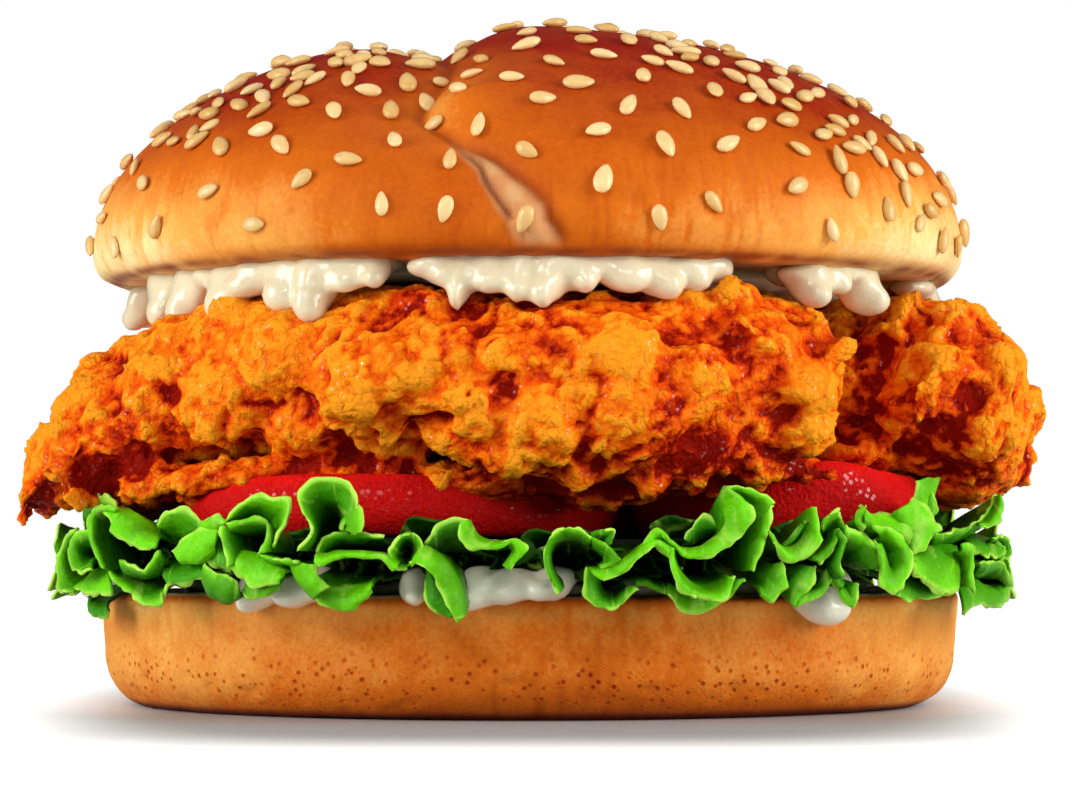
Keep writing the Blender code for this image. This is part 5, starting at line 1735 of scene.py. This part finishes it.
def lettuce_material(lettuce):
    """Waxy leaf: bright green, darker towards the stack as painted shade, with pale veins and rim."""
    material, tree, shader = start_material("lettuce", 0.4, specular_ior_level=0.12)
    patches = use_group(tree, "Mottle", Size=5.0, Amount=0.30, Detail=4.0, Seed=31.0)
    out = attribute(tree, "out")
    tone = math_node(tree, "ADD", out, math_node(tree, "MULTIPLY", patches.outputs["Value"], 0.5))
    deep, bright = tuple(lettuce.deep), tuple(lettuce.bright)
    # The darkest stops paint the shade towards the stack and behind the front frills.
    stops = ((0.35, (0.001, 0.010, 0.0003)), (0.60, tinted(deep, 0.30)), (0.78, deep),
             (0.89, tinted(bright, 0.55)), (0.98, bright))
    fine = use_group(tree, "Mottle", Size=1.3, Amount=0.22, Detail=3.0, Seed=33.0)
    patch = math_node(tree, "ADD", fine.outputs["Value"], 0.04, clamp=True)
    vein = math_node(tree, "SUBTRACT", 0.10, attribute(tree, "vein"), clamp=True)
    vein = math_node(tree, "MULTIPLY", vein, 5.0)
    colour = layered(tree, ramp_node(tree, tone, stops), (patch, tinted(bright, 0.5)),
                     (vein, tinted(lettuce.edge, 0.8)), (attribute(tree, "rim"), tuple(lettuce.edge)))
    grain = use_group(tree, "Grain", Size=1.9, Depth=0.24, Detail=4.0)
    finish_surface(tree, shader, colour, grain.outputs["Height"])
    return material


# ---------------------------------------------------------------- mayonnaise

# Blobs under the crown as (bearing, half width, drop, bulge), all but the bearing in mm.
UPPER_BLOBS = (
    (205.5, 3.6, 5.4, 0.9), (214.5, 3.0, 5.8, 0.8), (224, 3.2, 5.6, 0.9), (229, 3.0, 3.0, 0.6),
    (236, 3.2, 4.6, 0.9), (240.2, 2.6, 6.2, 1.4), (245.5, 2.8, 3.4, 0.7), (249, 1.8, 2.6, 0.5),
    (258, 1.9, 2.4, 0.6), (261.2, 1.3, 5.4, 0.7), (264.5, 2.6, 3.6, 0.8), (268.5, 2.0, 4.6, 0.9),
    (272.6, 2.0, 5.2, 1.1), (276.2, 1.8, 3.4, 0.7), (282, 2.6, 2.8, 0.5), (287, 2.2, 3.6, 0.7),
    (292, 2.2, 2.8, 0.5), (311.5, 2.6, 4.4, 1.3), (316.5, 2.2, 2.6, 0.7), (323, 2.8, 4.4, 1.0),
    (352, 4.4, 3.0, 0.9), (2, 2.8, 2.2, 0.7),
    (28, 3.4, 4.2, 1.1), (36, 4.4, 2.4, 0.7), (62, 4.6, 3.4, 1.0), (69, 2.2, 5.0, 0.9),
    (90, 4.2, 3.8, 1.2), (99, 2.6, 2.4, 0.8), (120, 4.4, 3.4, 1.0), (129, 3.0, 2.2, 0.7),
    (146, 2.8, 5.4, 1.1), (153, 4.0, 2.6, 0.8), (174, 4.6, 3.4, 0.9), (182, 2.2, 4.8, 0.9),
)
# Runs of sauce that join those blobs up, as (first bearing, last bearing).
UPPER_RUNS = ((203, 249), (257, 294), (310, 325), (345, 367), (383, 401), (416, 432), (446, 463),
              (476, 493), (504, 518), (531, 545))
# Blobs on the heel, which run over its edge.
LOWER_BLOBS = (
    (194, 2.4, 2.8, 0.6), (199, 2.0, 3.2, 0.6), (235.3, 2.6, 4.0, 1.2), (239.8, 3.0, 3.4, 1.5),
    (244.2, 2.4, 2.4, 1.2), (256.2, 1.9, 2.9, 1.2), (264, 2.4, 2.9, 1.2), (268.2, 2.8, 2.4, 1.4),
    (272.2, 2.2, 2.2, 1.0), (306.4, 2.6, 4.2, 1.5), (309.2, 2.8, 4.8, 1.7),
    (20, 2.8, 3.2, 0.8), (78, 3.0, 3.6, 0.9), (84, 2.2, 2.4, 0.8), (132, 2.8, 3.0, 0.8),
)
# Rings that the blobs grow out of, as (inner radius, outer radius, lowest, highest) in mm.
LOWER_RING = (34.0, 41.0, HEEL_HEIGHT - 0.2, HEEL_HEIGHT + 1.5)
UPPER_RING = (20.0, 38.0, CROWN_UNDERSIDE - 2.2, CROWN_UNDERSIDE + 0.2)
# Rounds of smoothing that melt the blobs into one another.
MELTING = 22


def sauce_ring(inner, outer, low, high):
    """The flat ring of sauce that the blobs grow out of."""
    middle = (low + high) / 2.0
    half = (high - low) / 2.0
    outline = [(inner, low), (outer - half, low), (outer, middle), (outer - half, high), (inner, high)]
    bm = bmesh.new()
    bm.from_mesh(turned(outline + outline[:1], 120, "sauce ring"))
    return shape_of(bm)


def blob_shapes(bearing, radius, top, half_width, drop, bulge, rng):
    """One hanging blob: a root, a thick shoulder and a rounder drop below it."""
    points, faces = ball(3)
    turn = Matrix.Rotation(math.radians(bearing), 3, "Z")
    deep = 1.5 + 0.9 * bulge
    swing = rng.uniform(-1.2, 1.2)
    bodies = (
        (on_bearing(bearing, radius - 1.0, top - 0.35 * drop), (deep, half_width, 0.45 * drop + 0.9)),
        (on_bearing(bearing + swing, radius + 0.25 * bulge, top - 0.72 * drop),
         (0.85 * deep, 0.72 * half_width, 0.30 * drop + 0.5)),
        (on_bearing(bearing - swing, radius - 3.5, top - 0.1 * drop),
         (4.2, 0.9 * half_width, 0.22 * drop + 0.7)),
    )
    return [(posed(points, place, turn, halves), faces) for place, halves in bodies]


def make_sauce(name, blobs, runs, look, ring, radius, top, seed):
    """Shapes one layer of sauce from its ring and blobs, melted into each other."""
    rng = np.random.default_rng(seed)
    shapes = [sauce_ring(*ring)]
    points, faces = ball(3)
    for first, last in runs:
        bearing = first
        while bearing < last:
            place = on_bearing(bearing, radius - 1.3 + rng.uniform(-0.9, 0.5), top - 0.6)
            turn = Matrix.Rotation(math.radians(bearing), 3, "Z")
            halves = (2.6, rng.uniform(2.4, 3.8), rng.uniform(0.7, 1.6))
            shapes.append((posed(points, place, turn, halves), faces))
            bearing += rng.uniform(1.8, 4.6)
    for bearing, half_width, drop, bulge in blobs:
        shapes += blob_shapes(bearing, radius, top, half_width, drop, bulge, rng)
    mesh = welded(shapes, name, look.voxel, MELTING)
    points = read_points(mesh)
    normals = read_normals(mesh)
    points += normals * (0.55 * lumps(points, 5.0, seed) + 0.16 * lumps(points, 2.2, seed + 1))[:, None]
    write_points(mesh, points)
    return mesh


def sauce_material(name, colour):
    """Thick glossy mayonnaise."""
    material, tree, shader = start_material(name, 0.2, coat_weight=0.3, coat_roughness=0.05)
    patches = use_group(tree, "Mottle", Size=3.0, Amount=0.25, Detail=3.0, Seed=41.0)
    tone = math_node(tree, "ADD", patches.outputs["Value"], 0.5, clamp=True)
    shade = tinted(colour, (0.97, 0.94, 0.82))
    pale = tinted(colour, (1.02, 1.05, 1.18))
    ripple = use_group(tree, "Grain", Size=2.2, Depth=0.07, Detail=3.0)
    finish_surface(tree, shader, mix_colours(tree, tone, shade, pale), ripple.outputs["Height"])
    return material


# ---------------------------------------------------------------- stage

# Area lights as (name, place, (width, height), watts), in mm around the bun's axis.
SOFTBOXES = (
    ("left softbox", (-540, -250, 190), (300, 420), 2.85),
    ("right softbox", (540, -250, 210), (300, 420), 3.35),
    ("front softbox", (-60, -620, 380), (400, 240), 0.8),
    ("glint lamp", (-230, -520, 330), (50, 50), 0.35),
    ("top softbox", (0, 60, 620), (500, 500), 0.5),
)
# What the lights face.
LIT_POINT = (0.0, 0.0, 42.0)
# The floor's painted shadow: grey under the burger, fading to white between these distances from the axis,
# in metres, which count for more across and for less to the front and back.
PAINTED_SHADOW_SHAPE = (1.23, 0.66, 0.0)
PAINTED_SHADOW_FADE = (0.044, 0.066)
# Distances over which the floor's painted glow, which only the camera sees, fades in.
PAINTED_GLOW_FADE = (0.048, 0.080)
WHITE = (1.0, 1.0, 1.0, 1.0)


def faded(tree, value, start, end):
    """0 below the start, 1 above the end and smooth between them."""
    fade = add_node(tree, "ShaderNodeMapRange", {"From Min": start, "From Max": end},
                    interpolation_type="SMOOTHSTEP")
    tree.links.new(value, fade.inputs["Value"])
    return fade.outputs["Result"]


def make_floor(stage):
    """A large pale floor with a painted shadow: grey under the burger, and white further out with a painted
    glow that only the camera sees.
    """
    bm = bmesh.new()
    bmesh.ops.create_circle(bm, cap_ends=True, segments=96, radius=6.0)
    mesh = bpy.data.meshes.new("floor")
    bm.to_mesh(mesh)
    bm.free()
    material, tree, shader = start_material("floor", 0.6, specular_ior_level=0.2)
    shader.inputs["Emission Color"].default_value = WHITE
    where = add_node(tree, "ShaderNodeTexCoord")
    axis = (BUN_AXIS[0] * MM, BUN_AXIS[1] * MM, 0.0)
    place = vector_node(tree, "SUBTRACT", where.outputs["Object"], axis).outputs["Vector"]
    place = vector_node(tree, "MULTIPLY", place, PAINTED_SHADOW_SHAPE).outputs["Vector"]
    squared = vector_node(tree, "MULTIPLY", place, place).outputs["Vector"]
    fourth = vector_node(tree, "DOT_PRODUCT", squared, squared).outputs["Value"]
    away = math_node(tree, "POWER", fourth, 0.25)
    # Grey under the burger: a painted shadow.
    pale = faded(tree, away, *PAINTED_SHADOW_FADE)
    colour = mix_colours(tree, pale, tinted(stage.floor, 0.5), tuple(stage.floor))
    tree.links.new(colour, shader.inputs["Base Color"])
    # A glow that only the camera sees, fading in away from the burger: painted light.
    glow = math_node(tree, "MULTIPLY", faded(tree, away, *PAINTED_GLOW_FADE), 0.9)
    seen = tree.nodes.new("ShaderNodeLightPath")
    glow = math_node(tree, "MULTIPLY", glow, seen.outputs["Is Camera Ray"])
    tree.links.new(glow, shader.inputs["Emission Strength"])
    mesh.materials.append(material)
    floor = new_object("floor", mesh)


def add_softbox(name, place, size, power):
    """Adds one area light that faces the burger."""
    light = bpy.data.lights.new(name, "AREA")
    light.shape = "RECTANGLE"
    light.size, light.size_y = size[0] * MM, size[1] * MM
    light.energy = power
    box = new_object(name, light)
    axis = Vector((*BUN_AXIS, 0.0))
    box.location = (Vector(place) + axis) * MM
    box.rotation_euler = (Vector(LIT_POINT) - Vector(place)).to_track_quat("-Z", "Y").to_euler()


def make_world():
    """White background whose light on the burger is soft and weak."""
    world = bpy.data.worlds.new("studio")
    bpy.context.scene.world = world
    world.use_nodes = True
    tree = world.node_tree
    light = tree.nodes["Background"]
    light.inputs["Color"].default_value = WHITE
    light.inputs["Strength"].default_value = 0.14
    seen = add_node(tree, "ShaderNodeBackground", {"Color": WHITE, "Strength": 1.0})
    path = tree.nodes.new("ShaderNodeLightPath")
    mix = tree.nodes.new("ShaderNodeMixShader")
    tree.links.new(path.outputs["Is Camera Ray"], mix.inputs["Fac"])
    tree.links.new(light.outputs["Background"], mix.inputs[1])
    tree.links.new(seen.outputs["Background"], mix.inputs[2])
    tree.links.new(mix.outputs["Shader"], tree.nodes["World Output"].inputs["Surface"])


def make_camera(stage):
    """Camera low in front of the burger, looking slightly up."""
    camera = bpy.data.cameras.new("camera")
    camera.lens = stage.lens
    camera.sensor_width = 36.0
    camera.clip_start = 0.01
    camera.clip_end = 50.0
    eye = new_object("camera", camera)
    eye.location = Vector((BUN_AXIS[0], BUN_AXIS[1] - stage.distance, stage.height)) * MM
    eye.rotation_euler = (math.radians(90.0 + stage.pitch), 0.0, math.radians(-stage.yaw))
    bpy.context.scene.camera = eye


# ---------------------------------------------------------------- operators

class BURGER_OT_stage(bpy.types.Operator):
    """Sets up the camera, the floor and the studio light"""

    bl_idname = "burger.stage"
    bl_label = "Stage"

    def execute(self, context):
        """Makes everything that isn't part of the burger."""
        stage = context.scene.burger_stage
        context.scene.view_settings.view_transform = "Standard"
        context.scene.cycles.max_bounces = 6
        context.scene.cycles.diffuse_bounces = 3
        context.scene.cycles.glossy_bounces = 2
        make_camera(stage)
        make_floor(stage)
        make_world()
        for softbox in SOFTBOXES:
            add_softbox(*softbox)
        return {"FINISHED"}


class BURGER_OT_heel(bpy.types.Operator):
    """Makes the lower half of the bun"""

    bl_idname = "burger.heel"
    bl_label = "Heel"

    def execute(self, context):
        """Builds the heel in place of its frame node."""
        bun = context.scene.burger_bun
        place_piece("heel_bread", make_heel(bun), heel_material(bun), ["bun_heel"])
        return {"FINISHED"}


class BURGER_OT_sauces(bpy.types.Operator):
    """Makes the mayonnaise on both cut faces"""

    bl_idname = "burger.sauces"
    bl_label = "Mayonnaise"

    def execute(self, context):
        """Builds the sauce on the heel and the sauce under the crown."""
        look = context.scene.burger_sauce
        # Lit and shaded copies of one mayonnaise: painted shade under the crown, painted light on the heel.
        material = sauce_material("mayonnaise", look.sauce)
        painted_lit_lower_material = sauce_material("mayonnaise on the heel, painted lit", look.painted_lit_lower_sauce)
        lower = make_sauce("sauce_lower_blobs", LOWER_BLOBS, (), look, LOWER_RING,
                           radius=HEEL_RADIUS + 1.3, top=HEEL_HEIGHT + 2.1, seed=301)
        place_piece("sauce_on_heel", lower, painted_lit_lower_material, ["sauce_lower"])
        upper = make_sauce("sauce_upper_blobs", UPPER_BLOBS, UPPER_RUNS, look, UPPER_RING,
                           radius=HEEL_RADIUS - 3.4, top=CROWN_UNDERSIDE - 0.1, seed=311)
        place_piece("sauce_under_crown", upper, material, ["sauce_upper"])
        return {"FINISHED"}


class BURGER_OT_lettuce(bpy.types.Operator):
    """Makes the frilled lettuce"""

    bl_idname = "burger.lettuce"
    bl_label = "Lettuce"

    def execute(self, context):
        """Builds three leaf rings, the frills of the front and the leaf pressed in the middle."""
        lettuce = context.scene.burger_lettuce
        material = lettuce_material(lettuce)
        rng = np.random.default_rng(seed=77)
        leaf = make_leaf("leaf", OUTER_LEAF, lettuce, rng)
        place_piece("lettuce_outer_leaf", leaf, material, ["lettuce"])
        place_piece("lettuce_front_frills", make_frills(lettuce, seed=421), material)
        leaf = make_leaf("inner leaf", INNER_LEAF, lettuce, rng)
        place_piece("lettuce_inner_leaf", leaf, material)
        leaf = make_leaf("lower leaf", LOWER_LEAF, lettuce, rng)
        place_piece("lettuce_lower_leaf", leaf, material)
        place_piece("lettuce_bed", make_bed(lettuce, seed=491), material)
        return {"FINISHED"}


class BURGER_OT_tomato(bpy.types.Operator):
    """Makes the tomato slices"""

    bl_idname = "burger.tomato"
    bl_label = "Tomato"

    def execute(self, context):
        """Builds each slice in place of its frame node."""
        material = tomato_material(context.scene.burger_sauce)
        for node, stretch, swelling in TOMATO_SHAPES:
            place_piece(node + "_slice", make_tomato(node, stretch, swelling), material, [node])
        return {"FINISHED"}


class BURGER_OT_chicken(bpy.types.Operator):
    """Makes the two fried fillets"""

    bl_idname = "burger.chicken"
    bl_label = "Fried chicken"

    def execute(self, context):
        """Builds each fillet's craggy crust in place of its frame node."""
        chicken = context.scene.burger_chicken
        material = chicken_material(chicken)
        for node, piece, *details in FILLETS:
            place_piece(piece, make_fillet(node, chicken, *details), material, [node])
        return {"FINISHED"}


class BURGER_OT_crown(bpy.types.Operator):
    """Makes the upper half of the bun and its sesame seeds"""

    bl_idname = "burger.crown"
    bl_label = "Crown and seeds"

    def execute(self, context):
        """Builds the crown in place of its frame node, then scatters seeds on it."""
        bun = context.scene.burger_bun
        crown = place_piece("crown_bread", make_crown(bun), crust_material(bun), ["bun_crown"])
        place_piece("sesame_seeds", make_seeds(bun, crown), seed_material(bun))
        return {"FINISHED"}


class BURGER_PT_panel(bpy.types.Panel):
    """Lists the steps that build the burger"""

    bl_label = "Chicken burger"
    bl_idname = "BURGER_PT_panel"
    bl_space_type = "VIEW_3D"
    bl_region_type = "UI"
    bl_category = "Burger"

    def draw(self, context):
        """Draws one button for each step."""
        for step in STEPS:
            self.layout.operator(step.bl_idname)


STEPS = (
    BURGER_OT_stage, BURGER_OT_heel, BURGER_OT_sauces, BURGER_OT_lettuce, BURGER_OT_tomato,
    BURGER_OT_chicken, BURGER_OT_crown,
)
SETTINGS = (
    ("burger_bun", BunSettings), ("burger_chicken", ChickenSettings), ("burger_lettuce", LettuceSettings),
    ("burger_sauce", SauceSettings), ("burger_stage", StageSettings),
)


def register():
    """Registers the settings, the steps and the panel."""
    for name, group in SETTINGS:
        bpy.utils.register_class(group)
        setattr(bpy.types.Scene, name, PointerProperty(type=group))
    for step in STEPS:
        bpy.utils.register_class(step)
    bpy.utils.register_class(BURGER_PT_panel)


def unregister():
    """Removes what register() added."""
    bpy.utils.unregister_class(BURGER_PT_panel)
    for step in reversed(STEPS):
        bpy.utils.unregister_class(step)
    for name, group in reversed(SETTINGS):
        delattr(bpy.types.Scene, name)
        bpy.utils.unregister_class(group)


def main():
    """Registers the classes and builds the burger."""
    register()
    bpy.ops.burger.stage()
    bpy.ops.burger.heel()
    bpy.ops.burger.sauces()
    bpy.ops.burger.lettuce()
    bpy.ops.burger.tomato()
    bpy.ops.burger.chicken()
    bpy.ops.burger.crown()


if __name__ == "__main__":
    main()
